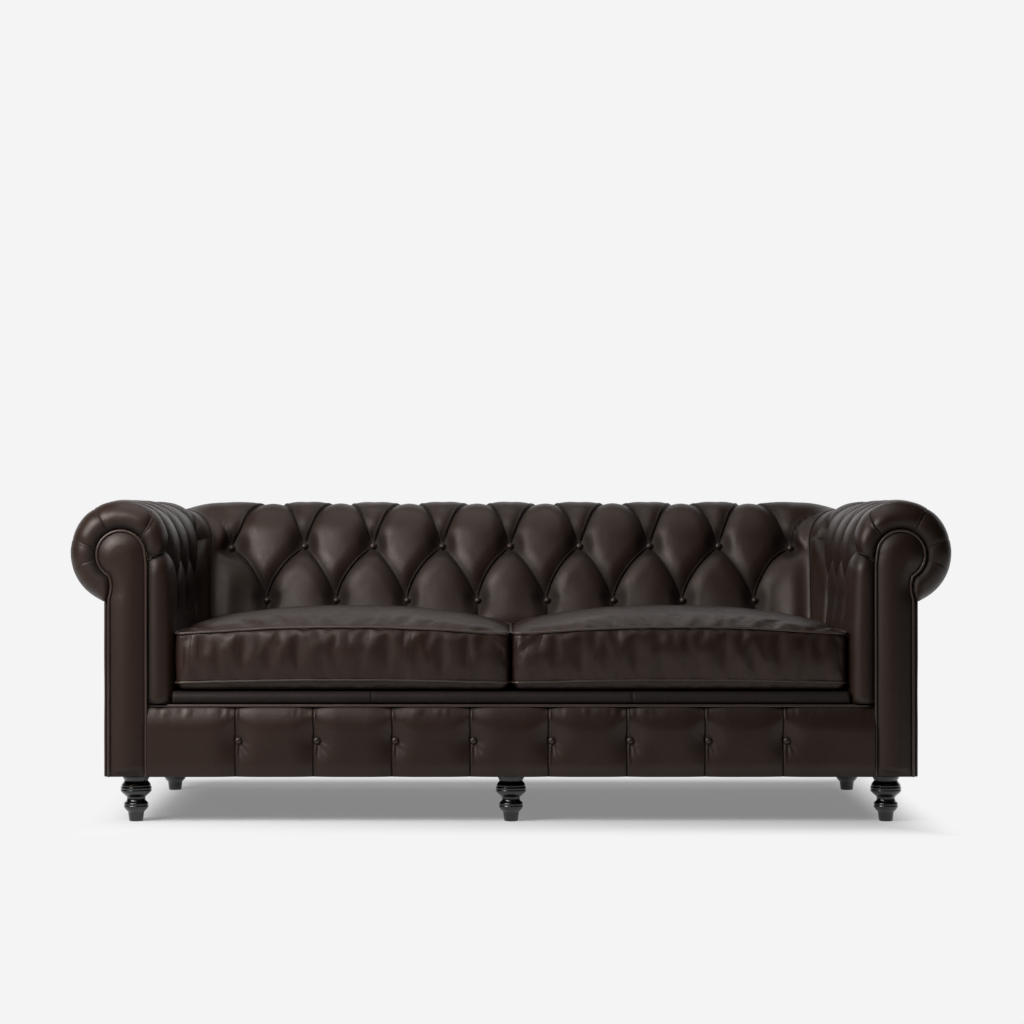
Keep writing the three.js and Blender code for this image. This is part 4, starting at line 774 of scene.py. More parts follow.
def tuftButtons(pattern, part):
    bm = bmesh.new()
    for run, length in pattern["buttons"]:
        station = stationAt(pattern["section"], length)
        run += drift(pattern, run, length)
        place = paddingPoint(part, run, station, -buttonShape["sink"])
        outward = (paddingPoint(part, run, station, 0.01) - place).normalized()
        coveredButton(bm, place, outward)
    return bm


buttonLeather = leatherMaterial("button leather", {
    "colour": (0.024, 0.0125, 0.0092, 1), "worn": (0.045, 0.029, 0.024, 1), "roughness": 0.34,
    "wrinkles": 0.0, "foldScale": 24, "wrinkleDepth": 0.0001, "grainDepth": 0.00008, "gloss": 0.45,
})
newPiece("backButtons", tuftButtons(backPattern, "back"), buttonLeather, "sofa", ("back_buttons",))
bothSides("armButtons", lambda: tuftButtons(armPattern, "arm"), buttonLeather, ("arm_buttons",))
print("buttons made")


# more finishes

def weaveGroup():  # plain cloth of crossed threads
    group, given, result = startGroup("plain weave", [
        ("Colour", colour, (0.012, 0.012, 0.013, 1)), ("Thread Count", number, 900.0),
    ], [("Colour", colour), ("Height", number)])
    place = objectPlace(group)
    waves = []
    for direction in ("X", "Y", "Z"):
        wave = addNode(group, "ShaderNodeTexWave", wave_type="BANDS", bands_direction=direction)
        wave.inputs["Distortion"].default_value = 0.4
        put(group, place, wave.inputs["Vector"])
        put(group, maths(group, "MULTIPLY", given["Thread Count"], 0.16), wave.inputs["Scale"])
        waves.append(wave.outputs["Fac"])
    crossed = maths(group, "MAXIMUM", waves[0], waves[1])
    height = maths(group, "ADD", crossed, maths(group, "MULTIPLY", waves[2], 0.5))
    dust = texture(group, noiseTexture, place, Scale=14, Detail=6)
    shade = mixColour(group, ranged(group, height, 0.2, 1.4, 0.55, 0.0), given["Colour"], (0.003, 0.003, 0.003, 1))
    dusty = mixColour(group, ranged(group, dust, 0.4, 0.75, 0, 0.3), shade, (0.03, 0.029, 0.027, 1))
    put(group, dusty, result["Colour"])
    put(group, height, result["Height"])
    return group


def woodGroup():  # straight grain with fine pores
    group, given, result = startGroup("sawn timber", [
        ("Light Wood", colour, (0.5, 0.32, 0.17, 1)), ("Dark Wood", colour, (0.3, 0.17, 0.08, 1)),
        ("Stretch", "NodeSocketVector", (1.0, 9.0, 9.0)),
    ], [("Colour", colour), ("Height", number)])
    stretched = addNode(group, "ShaderNodeVectorMath", operation="MULTIPLY")
    put(group, objectPlace(group), stretched.inputs[0])
    put(group, given["Stretch"], stretched.inputs[1])
    rings = texture(group, noiseTexture, stretched.outputs[0], Scale=6, Detail=8, Roughness=0.65, Distortion=1.2)
    pores = texture(group, noiseTexture, stretched.outputs[0], Scale=70, Detail=3)
    base = mixColour(group, ranged(group, rings, 0.3, 0.7), given["Light Wood"], given["Dark Wood"])
    flecked = mixColour(group, ranged(group, pores, 0.55, 0.75, 0, 0.4), base, given["Dark Wood"])
    put(group, flecked, result["Colour"])
    put(group, pores, result["Height"])
    return group


plainWeave = weaveGroup()
sawnTimber = woodGroup()


def clothMaterial(name, settings):
    material, tree, shader = makeMaterial(name)
    weave = useGroup(tree, plainWeave, Colour=settings["colour"], Thread_Count=settings["threads"])
    put(tree, weave["Colour"], shader.inputs["Base Color"])
    put(tree, bumped(tree, weave["Height"], 0.0003, 0.8), shader.inputs["Normal"])
    shader.inputs["Roughness"].default_value = 0.92
    shader.inputs["Specular IOR Level"].default_value = 0.2
    return material


def woodMaterial(name, settings):
    material, tree, shader = makeMaterial(name)
    wood = useGroup(tree, sawnTimber, Light_Wood=settings["light"], Dark_Wood=settings["dark"],
                    Stretch=settings["stretch"])
    put(tree, wood["Colour"], shader.inputs["Base Color"])
    put(tree, bumped(tree, wood["Height"], 0.0004, 0.6), shader.inputs["Normal"])
    shader.inputs["Roughness"].default_value = 0.72
    return material


beechX, beechY, beechZ = (
    woodMaterial(name, {"light": (0.5, 0.31, 0.16, 1), "dark": (0.33, 0.18, 0.08, 1), "stretch": stretch})
    for name, stretch in (("beech along the sofa", (0.7, 9, 9)), ("beech across the sofa", (9, 0.7, 9)),
                          ("upright beech", (9, 9, 0.7))))
plywood = woodMaterial("birch plywood", {
    "light": (0.62, 0.44, 0.25, 1), "dark": (0.45, 0.28, 0.14, 1), "stretch": (3, 3, 14)})
blackCloth = clothMaterial("black lining", {"colour": (0.012, 0.012, 0.014, 1), "threads": 900})
zipCloth = clothMaterial("zip tape", {"colour": (0.022, 0.016, 0.014, 1), "threads": 1500})


def foamMaterial():
    material, tree, shader = makeMaterial("upholstery foam")
    cells = texture(tree, cellTexture, objectPlace(tree), Scale=420)
    put(tree, mixColour(tree, cells, (0.74, 0.6, 0.33, 1), (0.5, 0.36, 0.16, 1)), shader.inputs["Base Color"])
    put(tree, bumped(tree, cells, 0.0008), shader.inputs["Normal"])
    shader.inputs["Roughness"].default_value = 0.95
    return material


def metalMaterial(name, settings):
    material, tree, shader = makeMaterial(name)
    scuffs = texture(tree, noiseTexture, objectPlace(tree), Scale=settings["scale"], Detail=8)
    put(tree, mixColour(tree, ranged(tree, scuffs, 0.35, 0.7), settings["colour"], settings["stain"]),
        shader.inputs["Base Color"])
    put(tree, ranged(tree, scuffs, 0.3, 0.7, settings["low"], settings["high"]), shader.inputs["Roughness"])
    shader.inputs["Metallic"].default_value = 1
    return material


foam = foamMaterial()
springSteel = metalMaterial("oiled spring wire", {
    "colour": (0.34, 0.35, 0.37, 1), "stain": (0.12, 0.1, 0.09, 1), "scale": 60, "low": 0.3, "high": 0.55})
zipMetal = metalMaterial("dark zip metal", {
    "colour": (0.26, 0.24, 0.22, 1), "stain": (0.08, 0.07, 0.06, 1), "scale": 300, "low": 0.25, "high": 0.5})


def lacquerMaterial():  # black lacquer, a little dull where feet are kicked, with a coat over it
    material, tree, shader = makeMaterial("black lacquer")
    scuffs = texture(tree, noiseTexture, objectPlace(tree), Scale=45, Detail=8, Roughness=0.7)
    black, grey = (0.0028, 0.0027, 0.0026, 1), (0.009, 0.0075, 0.0065, 1)
    put(tree, mixColour(tree, ranged(tree, scuffs, 0.5, 0.75, 0, 0.6), black, grey), shader.inputs["Base Color"])
    put(tree, ranged(tree, scuffs, 0.35, 0.7, 0.13, 0.3), shader.inputs["Roughness"])
    put(tree, bumped(tree, scuffs, 0.0001, 0.4), shader.inputs["Normal"])
    shader.inputs["Coat Weight"].default_value = 0.4
    shader.inputs["Coat Roughness"].default_value = 0.12
    return material


lacquer = lacquerMaterial()


def dress(material, *names):
    for name in names:
        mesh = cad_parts[name].data
        mesh.materials.clear()
        mesh.materials.append(material)


def pair(*stems):
    return [f"{stem}_{side}" for stem in stems for side in ("right", "left")]


dress(beechX, "front_rail", "rear_rail", "seat_back_rail", "back_roll_rail",
      *pair("front_corner_block", "rear_corner_block"))
dress(beechY, "centre_stretcher", *pair("side_rail", "arm_roll_rail"))
dress(beechZ, "back_centre_post", *pair("back_post"))
dress(plywood, "back_board", *pair("arm_facing_board", "arm_inner_board"))
dress(springSteel, "seat_springs")
dress(blackCloth, "dust_cover")
dress(foam, "back_foam", *pair("arm_foam", "seat_cushion_foam"))
dress(zipCloth, *pair("cushion_zip"))
dress(zipMetal, *pair("zip_slider"))
print("carried nodes dressed")


# pipings and swept forms

def tube(bm, points, radius, sides=10, closed=False):  # rings along the points, bridged one to the next
    count = len(points)
    tangents = []
    for index, point in enumerate(points):
        before = points[index - 1] if index or closed else point
        after = points[(index + 1) % count] if index < count - 1 or closed else point
        tangents.append((after - before).normalized())
    across = tangents[0].orthogonal().normalized()
    rings = []
    for point, tangent in zip(points, tangents):
        across = (across - tangent * across.dot(tangent)).normalized()
        up = tangent.cross(across)
        verts = bmesh.ops.create_circle(bm, segments=sides, radius=radius)["verts"]
        turn = Matrix((across, up, tangent)).transposed().to_4x4()
        bmesh.ops.transform(bm, matrix=Matrix.Translation(point) @ turn, verts=verts)
        rings.append(list({edge for vert in verts for edge in vert.link_edges}))
    pairs = list(zip(rings, rings[1:])) + ([(rings[-1], rings[0])] if closed else [])
    for first, second in pairs:
        bmesh.ops.bridge_loops(bm, edges=first + second)
    if not closed:
        for ring in (rings[0], rings[-1]):
            bmesh.ops.contextual_create(bm, geom=ring)
    bmesh.ops.recalc_face_normals(bm, faces=bm.faces)


def sweptForm(columns, ring):  # a closed section carried along X; ring(x) gives its points in Y and Z, each with its painted shade
    sections = [ring(x) for x in columns]
    rows = len(sections[0])
    bm, places = grid(len(columns) - 1, rows)
    layer = bm.verts.layers.float["paintedShade"]
    for (column, row), vert in places.items():
        y, z, vert[layer] = sections[column][row % rows]
        vert.co = Vector((columns[column], y, z))
    bmesh.ops.remove_doubles(bm, verts=bm.verts, dist=1e-6)
    bmesh.ops.holes_fill(bm, edges=[edge for edge in bm.edges if edge.is_boundary], sides=0)
    bmesh.ops.recalc_face_normals(bm, faces=bm.faces)
    return bm


# scroll facings of the arms

def facingOutline(inset, steps=14, upSteps=18):
    left, right, bottom = facing["innerX"] + inset, facing["outerX"] - inset, facing["bottom"]
    foot, corner = Vector((left, bottom)), Vector((left, facing["headZ"] - facing["headRadius"] / 2))
    pull = Vector((left, facing["headZ"] - facing["headRadius"] / 4))
    headStart = Vector((facing["headX"] - facing["headRadius"] + inset, facing["headZ"]))
    shoulder = Vector((right, facing["shoulderZ"]))
    points = [Vector((right, bottom)), foot]
    points += [mix(foot, corner, step / upSteps) for step in range(1, upSteps)]
    points += [bezier(corner, pull, headStart, step / steps) for step in range(steps)]
    points += [facingHead(mix(math.pi, facing["headEnd"], step / (3 * steps)), -inset)
               for step in range(3 * steps)]
    points += [facingNeck(-inset, step / steps) for step in range(steps)]
    points += [mix(shoulder, points[0], step / upSteps) for step in range(upSteps)]
    return points


facingPad = {"inset": 0.0055, "edgeY": -0.4694, "backY": -0.4668, "dome": 0.0170, "halfWidth": 0.046,
             "steps": (0, 0.0006, 0.0016, 0.003, 0.005, 0.008, 0.012, 0.017, 0.023, 0.030, 0.037),
             "footRound": 0.012, "footReach": 0.03, "shade": 0.8, "shadeReach": 0.004}
facingPiping = {"inset": 0.0032, "y": -0.4712, "radius": 0.0035}


def facingPadForm():
    bm = bmesh.new()
    layer = bm.verts.layers.float.new("paintedShade")
    rings = []
    for index, step in enumerate((0,) + facingPad["steps"]):
        rise = (1 - (1 - step / facingPad["halfWidth"]) ** 2) * facingPad["dome"]
        y = facingPad["edgeY"] - rise if index else facingPad["backY"]
        ring = []
        for x, z in facingOutline(facingPad["inset"] + step):
            low = 1 - smoothstep(z, facing["bottom"], facing["bottom"] + facingPad["footReach"])
            ring.append(bm.verts.new((x, y, z + min(step, facingPad["footRound"]) * low)))
            # painted shade, darkest at the pad's edge by the piping and fading inwards
            ring[-1][layer] = facingPad["shade"] * math.exp(-step / facingPad["shadeReach"])
        rings.append(ring)
    for first, second in zip(rings, rings[1:]):
        for index in range(len(first)):
            bm.faces.new((first[index - 1], first[index], second[index], second[index - 1]))
    cap = bm.faces.new(rings[-1])
    back = bm.faces.new(rings[0])
    bm.normal_update()
    bmesh.ops.triangulate(bm, faces=[cap, back])
    bmesh.ops.recalc_face_normals(bm, faces=bm.faces)
    return bm


def facingPipingForm():
    bm = bmesh.new()
    outline = facingOutline(facingPiping["inset"])
    path = [Vector((x, facingPiping["y"], z)) for x, z in outline[1:] + outline[:1]]
    tube(bm, path, facingPiping["radius"])
    return bm


for piece in bothSides("facingPad", facingPadForm, leather, ("arm_facing_pad",)):
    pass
bothSides("facingPiping", facingPipingForm, pipingLeather, ("arm_facing_piping",))
print("facings made")


# front border with seams and buttons, and the lip above it

border = {
    "halfWidth": 0.9047, "bottom": 0.117, "top": 0.290, "backY": -0.4532, "frontY": -0.4770,
    "buttonZ": 0.207, "buttons": 8, "pitch": 0.195, "seamShift": -0.004, "buttonShift": 0.004,
    "buttonSink": 0.0024,
    "relief": 0.0095, "seamDepth": 0.0065, "buttonReach": 0.036, "seamReach": 0.06, "fullness": 0.0160,
    "topReaches": (0.030, 0.062), "bottomReach": 0.035, "wave": 0.0015, "slack": 0.0020, "unevenness": 0.0012,
    "groove": 0.003, "grooveWidth": 0.0016, "lip": 0.0011, "lipAt": 0.0042, "lipWidth": 0.0032,
    "creases": ((-1.0, 0.0030), (-1.42, 0.0024), (2.2, 0.0008)), "creaseFrom": 0.020, "creaseLength": 0.014,
    "pucker": 0.0021, "puckerFrom": 0.010, "puckerReach": 0.012, "steps": 52, "rows": 40,
    "crowdColumns": 0.115, "crowdRows": 0.35,
}
borderSeams = [(index - (border["buttons"] - 1) / 2) * border["pitch"] for index in range(border["buttons"])]


def borderPuckers(x, z, fromTop):  # small folds under the piping, in places
    pucker = waver(x * 70, z * 14, 5.5) + 0.6 * waver(x * 120, z * 9, 1.5)
    puckered = smoothstep(waver(x * 7, 3.3, 0.5), 0.05, 0.45)
    return border["pucker"] * pucker * puckered * bell(fromTop - border["puckerFrom"], border["puckerReach"])


def borderCreases(seam, across, up):  # creases that run out of a button
    depth = 0
    reach = bell(math.hypot(across, up) - border["creaseFrom"], border["creaseLength"])
    for direction, size in border["creases"]:
        lean = 0.15 * waver(seam * 7, direction, 1)
        turn = abs(math.remainder(math.atan2(up, across) - direction - lean, math.tau))
        depth += size * reach * (bell(turn, 0.17) - 0.6 * bell(turn - 0.3, 0.2))
    return depth


def borderSurface(x, z):  # how far back the leather lies there, and the painted shade there
    seam = min(borderSeams, key=lambda each: abs(x - each - border["seamShift"]))
    wave = border["wave"] * waver(seam * 9, z * 22, 2.2)
    fromSeam = x - seam - border["seamShift"] - wave * min(1, abs(z - border["buttonZ"]) / 0.03)
    across, up = x - seam - border["buttonShift"], z - border["buttonZ"]
    fromButton = math.hypot(across, up)
    fromTop, fromBottom = border["top"] - z, z - border["bottom"]
    rise = math.sin(min(1, abs(fromSeam) / border["seamReach"]) * math.pi / 2)
    lip = bell(fromSeam - border["lipAt"], border["lipWidth"]) if fromSeam > 0 else 0
    depth = border["seamDepth"] * (1 - rise) + border["relief"] * bell(fromButton, border["buttonReach"])
    depth += border["groove"] * bell(fromSeam, border["grooveWidth"]) - border["lip"] * lip
    depth += borderCreases(seam, across, up)
    top = (1 - min(1, fromTop / mix(*border["topReaches"], rise))) ** 2
    low = (1 - min(1, fromBottom / border["bottomReach"])) ** 2
    depth += border["fullness"] * (top + 0.5 * low) - border["slack"] * rise
    depth = min(depth, border["backY"] - border["frontY"] - 0.001)
    depth += borderPuckers(x, z, fromTop)
    depth += border["unevenness"] * waver(x * 9, z * 12, 9.1)
    # painted shade: a dark line along each seam, darkening round the button and just under the top piping
    paintedShade = max(bell(fromSeam, 0.002), 0.5 * math.exp(-((fromButton / 0.012) ** 4)), 0.7 * bell(fromTop, 0.0035))
    return border["frontY"] + depth, min(1, paintedShade)


def borderColumns():  # closer together at the seams
    edges = [-border["halfWidth"]] + [seam + border["seamShift"] for seam in borderSeams] + [border["halfWidth"]]
    columns = []
    for low, high in zip(edges, edges[1:]):
        for step in range(border["steps"]):
            share = step / border["steps"]
            columns.append(mix(low, high, share - border["crowdColumns"] * math.sin(share * math.tau)))
    return columns + [edges[-1]]


def borderRing(x):
    ring = []
    for row in range(border["rows"] + 1):
        share = row / border["rows"]
        placed = mix(share, (1 - math.cos(share * math.pi)) / 2, border["crowdRows"])
        z = mix(border["bottom"], border["top"], placed)
        y, paintedShade = borderSurface(x, z)
        ring.append((y, z, paintedShade))
    return ring + [(border["backY"], border["top"], 1), (border["backY"], border["bottom"], 1)]


frontBorder = newPiece("frontBorder", sweptForm(borderColumns(), borderRing), leather, "sofa",
                       ("front_border",))

bm = bmesh.new()
for seam in borderSeams:
    x = seam + border["buttonShift"]
    y = borderSurface(x, border["buttonZ"])[0] - border["buttonSink"]
    coveredButton(bm, Vector((x, y, border["buttonZ"])), Vector((0, -1, 0)))
newPiece("borderButtons", bm, buttonLeather, "sofa", ("front_border_buttons",))

borderPiping = {"y": -0.4606, "z": 0.2938, "radius": 0.0039, "steps": 60, "wobble": 0.0004}
bm = bmesh.new()
path = []
for step in range(borderPiping["steps"] + 1):
    x = mix(-border["halfWidth"], border["halfWidth"], step / borderPiping["steps"])
    wobble = borderPiping["wobble"] * waver(step * 0.7, 0, 0)
    path.append(Vector((x, borderPiping["y"], borderPiping["z"] + wobble)))
tube(bm, path, borderPiping["radius"])
newPiece("borderPiping", bm, pipingLeather, "sofa", ("front_border_piping",))

lip = {
    "halfWidth": 0.8427, "frontY": -0.4680, "rearY": -0.4248, "railFrontY": -0.4511, "base": 0.2983,
    "bottom": 0.2846, "top": 0.329, "seams": (-0.348, 0.303), "seamWidth": 0.0018, "seamDepth": 0.0022,
    "unevenness": 0.0009, "flattened": 1.15, "shade": 0.85, "columns": 240, "steps": 14,
}


def lipRing(x):
    middle, radius = (lip["base"] + lip["top"]) / 2, (lip["top"] - lip["base"]) / 2
    ring = [(lip["rearY"], lip["bottom"], 0), (lip["railFrontY"], lip["bottom"], 0),
            (lip["railFrontY"], lip["base"], 0)]
    # the seam weight makes a small dip and painted shade at each seam; the whole lip also gets painted shade, as
    # if in the cushion's shadow
    paintedShade = max(bell(x - seam, lip["seamWidth"]) for seam in lip["seams"])
    slack = lip["unevenness"] * waver(x * 16, 0.3, 0.9) - lip["seamDepth"] * paintedShade
    reach = lip["flattened"] * radius
    for step in range(lip["steps"] + 1):
        angle = math.pi * step / lip["steps"]
        ring.append((lip["frontY"] + reach - (reach + slack) * math.sin(angle),
                     middle - (radius + slack * 0.5) * math.cos(angle), max(paintedShade, lip["shade"])))
    return ring + [(lip["rearY"], lip["top"], 0)]


lipColumns = {round(mix(-lip["halfWidth"], lip["halfWidth"], step / lip["columns"]), 6)
              for step in range(lip["columns"] + 1)}
lipColumns |= {round(seam + offset, 6) for seam in lip["seams"] for offset in (-0.002, -0.001, 0, 0.001, 0.002)}
seatLip = newPiece("seatLip", sweptForm(sorted(lipColumns), lipRing), leather, "sofa", ("seat_lip",))
print("border and lip made")


# outside covers, seat deck

slab = {"roundness": 0.0035, "bulge": 0.003, "unevenness": 0.35}


def softSlab(nodeName, cuts, axis):  # a padded panel over a CAD box, fuller in its middle on one side
    low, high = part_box(nodeName)
    size, middle = Vector(high) - Vector(low), (Vector(high) + Vector(low)) / 2
    bm = bmesh.new()
    bmesh.ops.create_cube(bm, size=1)
    bmesh.ops.scale(bm, vec=size, verts=bm.verts)
    bmesh.ops.translate(bm, vec=middle, verts=bm.verts)
    bmesh.ops.bevel(bm, geom=bm.edges[:], offset=slab["roundness"], offset_type="OFFSET", segments=3, profile=0.5,
                    affect="EDGES", material=-1)
    longEdges = [edge for edge in bm.edges if edge.calc_length() > 8 * slab["roundness"]]
    bmesh.ops.subdivide_edges(bm, edges=longEdges, cuts=cuts, use_grid_fill=True)
    for vert in bm.verts:
        if vert.co[axis] > middle[axis]:
            full = 1.0
            for index in {0, 1, 2} - {axis}:
                full *= 1 - abs((vert.co[index] - middle[index]) / (size[index] / 2)) ** 4
            full += slab["unevenness"] * noise.noise(vert.co * 7)
            vert.co[axis] += slab["bulge"] * full
    bmesh.ops.recalc_face_normals(bm, faces=bm.faces)
    return bm


for piece in bothSides("outsideArm", lambda: softSlab("outside_arm_cover_right", 24, 0), leather,
                       ("outside_arm_cover",)):
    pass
outsideBack = newPiece("outsideBack", softSlab("outside_back_cover", 40, 1), leather, "sofa",
                       ("outside_back_cover",))
deck = {"corner": 0.13, "steps": 12, "roundness": 0.008}


def deckForm():
    low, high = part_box("seat_deck")
    radius = deck["corner"]
    bm = bmesh.new()
    outline = [Vector((low.x, low.y, low.z)), Vector((high.x, low.y, low.z))]
    for centreX, quarter in ((high.x - radius, 0), (low.x + radius, 1)):
        for step in range(deck["steps"] + 1):
            angle = math.pi / 2 * (quarter + step / deck["steps"])
            outline.append(Vector((centreX + radius * math.cos(angle), high.y - radius + radius * math.sin(angle),
                                   low.z)))
    face = bm.faces.new([bm.verts.new(point) for point in outline])
    made = bmesh.ops.extrude_face_region(bm, geom=[face])["geom"]
    top = [item for item in made if isinstance(item, bmesh.types.BMFace)]
    bmesh.ops.translate(bm, vec=(0, 0, high.z - low.z),
                        verts=[item for item in made if isinstance(item, bmesh.types.BMVert)])
    bmesh.ops.recalc_face_normals(bm, faces=bm.faces)
    bmesh.ops.bevel(bm, geom=list(top[0].edges), offset=deck["roundness"], offset_type="OFFSET", segments=3,
                    profile=0.5, affect="EDGES", material=-1)
    return bm


seatDeck = newPiece("seatDeck", deckForm(), blackCloth, "sofa", ("seat_deck",))
print("outside covers and deck made")


# turned feet

foot = {
    "profile": (  # radius and height up the foot, in millimetres
        (0, 0), (16.4, 0), (17.6, 1.4), (18.4, 9), (20.0, 21.5), (20.8, 23.6), (23, 25.6), (27, 30),
        (30.1, 35), (30.7, 37.6), (30.2, 39.6), (29.2, 40.6), (30.2, 41.8), (30.5, 44), (29.4, 46.8), (26, 49.4),
        (24.3, 51.4), (23.2, 54.5), (22.7, 58), (23.6, 61), (27, 64.2), (33.4, 69.6), (38, 74.4), (38.9, 77),
        (38.6, 79.2), (37.6, 80.4), (38.5, 81.6), (38.8, 84), (38, 86.4), (36.2, 87.6), (36.9, 89), (36.6, 91.4),
        (33.8, 95.6), (30.8, 99.4), (29.8, 102), (30.2, 104.4), (32.4, 107.4), (33.6, 110), (33.6, 117.6),
        (5, 117.6), (5, 163.6), (0, 163.6)),
    "x": 0.943, "frontY": -0.400, "rearY": 0.330, "steps": 48,
}


def footForm(x, y):
    bm = bmesh.new()
    verts = [bm.verts.new((radius / 1000, 0, height / 1000)) for radius, height in foot["profile"]]
    edges = [bm.edges.new(pair) for pair in zip(verts, verts[1:])]
    bmesh.ops.spin(bm, geom=verts + edges, cent=(0, 0, 0), axis=(0, 0, 1), angle=math.tau, steps=foot["steps"],
                   use_merge=True)
    bmesh.ops.remove_doubles(bm, verts=bm.verts, dist=1e-6)
    bmesh.ops.recalc_face_normals(bm, faces=bm.faces)
    bmesh.ops.translate(bm, vec=(x, y, 0), verts=bm.verts)
    return bm


for depthName, y in (("front", foot["frontY"]), ("rear", foot["rearY"])):
    for sideName, x in (("right", foot["x"]), ("centre", 0), ("left", -foot["x"])):
        newPiece(f"turnedFoot_{depthName}_{sideName}", footForm(x, y), lacquer, "sofa",
                 (f"foot_{depthName}_{sideName}",))
print("feet turned")


# loose seat cushions

cushion = {
    "minX": 0.002, "maxX": 0.838, "frontY": -0.466, "rearY": 0.130, "corner": 0.026, "rearCorner": 0.125,
    "sideBottom": 0.351, "sideTop": 0.474, "lowArch": 0.007, "arch": 0.016, "crown": 0.038, "crownLoss": 0.004,
    "sag": 0.0217, "swell": 0.0075, "under": (0.0005, 0.0025, 0.006, 0.011, 0.017, 0.024), "underReach": 0.024,
    "voxel": 0.008, "cap": 0.009, "drawIn": 0.0030, "seamZone": 0.006, "rimZone": 0.012,
    "zipZ": 0.4125, "zipEnd": 0.68, "zipY": 0.1282, "outsideFoam": 0.0012, "piping": 0.0031, "pipingOut": 0.0005,
    "wobble": 0.0012, "frames": 20, "clear": 0.0005, "pinnedDepth": 0.012, "zipPinned": 0.02, "zipLaid": 0.0075,
    "seamEase": 0.004, "slackAt": (0.004, 0.431), "slackLength": 0.066, "fold": 0.0027, "lean": 0.0018,
    "slack": 0.0048, "sideSpare": (0.001, 0.003), "underClear": 0.0003, "smoothing": 0.4,
}
cushion["middleX"] = (cushion["minX"] + cushion["maxX"]) / 2
cushion["middleY"] = (cushion["frontY"] + cushion["rearY"]) / 2
cushion["halfX"] = cushion["maxX"] - cushion["middleX"]
cushion["halfY"] = cushion["rearY"] - cushion["middleY"]
stuffing = {
    "quality": 6, "mass": 0.4, "tension_stiffness": 28, "compression_stiffness": 28, "shear_stiffness": 12,
    "bending_stiffness": 1.2, "use_pressure": True, "uniform_pressure_force": 3.0, "shrink_min": -0.035,
    "shrink_max": -0.035, "vertex_group_mass": "sewn", "pin_stiffness": 1,
}


def cushionPlan(inset, cornerSteps=8, edgeSteps=24):
    low, high = cushion["minX"] + inset, cushion["maxX"] - inset
    front, rear = cushion["frontY"] + inset, cushion["rearY"] - inset
    small, large = cushion["corner"] - inset, cushion["rearCorner"] - inset
    corners = [(high - small, front + small, small, -0.5), (high - large, rear - large, large, 0),
               (low + small, rear - small, small, 0.5), (low + small, front + small, small, 1)]
    outline = []
    for index, (x, y, radius, start) in enumerate(corners):
        for step in range(cornerSteps + 1):
            angle = (start + step / cornerSteps / 2) * math.pi
            outline.append((x + radius * math.cos(angle), y + radius * math.sin(angle)))
        lastX, lastY = outline[-1]
        nextX, nextY, nextRadius, nextStart = corners[(index + 1) % 4]
        nextX += nextRadius * math.cos(nextStart * math.pi)
        nextY += nextRadius * math.sin(nextStart * math.pi)
        for step in range(1, edgeSteps):
            outline.append((mix(lastX, nextX, step / edgeSteps), mix(lastY, nextY, step / edgeSteps)))
    return outline


def cushionShares(x, y):  # 0 in the middle, 1 at the sides
    return (min(1, abs((x - cushion["middleX"]) / cushion["halfX"])),
            min(1, abs((y - cushion["middleY"]) / cushion["halfY"])))


def cushionCrown(x, y):
    across, along = cushionShares(x, y)
    return (1 - across ** 3) * (1 - along ** 3)


def seamHeights(x, y):  # of the lower and the upper seam
    across, along = cushionShares(x, y)
    return (cushion["sideBottom"] + cushion["lowArch"] * (1 - across ** 2) * along ** 6,
            cushion["sideTop"] + cushion["arch"] * (1 - across ** 2) * (1 - across ** 4 * along ** 4))


def atFront(y):
    return smoothstep(cushion["frontY"] + cushion["corner"] - y, 0, cushion["corner"] * 0.8)


def frontSwell(x, y, share):  # the front boxing stands out between its two seams
    across = cushionShares(x, y)[0]
    return cushion["swell"] * math.sin(math.pi * share) ** 0.7 * (1 - across ** 8) * atFront(y)


def planDistance(x, y):  # how far a place lies outside the cushion's plan, and which way is outward
    rear, outer = y > cushion["middleY"], x > cushion["middleX"]
    radius = cushion["rearCorner"] if rear and outer else cushion["corner"]
    overX = abs(x - cushion["middleX"]) - cushion["halfX"] + radius
    overY = abs(y - cushion["middleY"]) - cushion["halfY"] + radius
    if overX > 0 and overY > 0:
        distance, away = math.hypot(overX, overY), Vector((overX, overY)).normalized()
    else:
        distance, away = max(overX, overY), Vector((1, 0)) if overX > overY else Vector((0, 1))
    return distance - radius, Vector((away.x if outer else -away.x, away.y if rear else -away.y, 0))


def frontFolds(x, z):  # soft upright folds of the front boxing, and one slack fold at the inner top corner
    patch = smoothstep(waver(x * 4.3, 0.7, 5.1), -0.25, 0.3)
    fold = 1 - 2.6 * abs(waver(x * 21 + z * 5, z * 5, 3.3))
    lean = waver(x * 11 - z * 13, z * 9, 8.8)
    cornerX, cornerZ = x - cushion["minX"] - cushion["slackAt"][0], z - cushion["slackAt"][1]
    alongFold = (cornerX * 0.8 + cornerZ * 0.6) / cushion["slackLength"]
    acrossFold = cornerZ * 0.8 - cornerX * 0.6
    slack = bell(acrossFold, 0.006) * math.exp(-(((alongFold - 0.5) / 0.5) ** 4))
    return cushion["fold"] * fold * patch + cushion["lean"] * lean + cushion["slack"] * slack


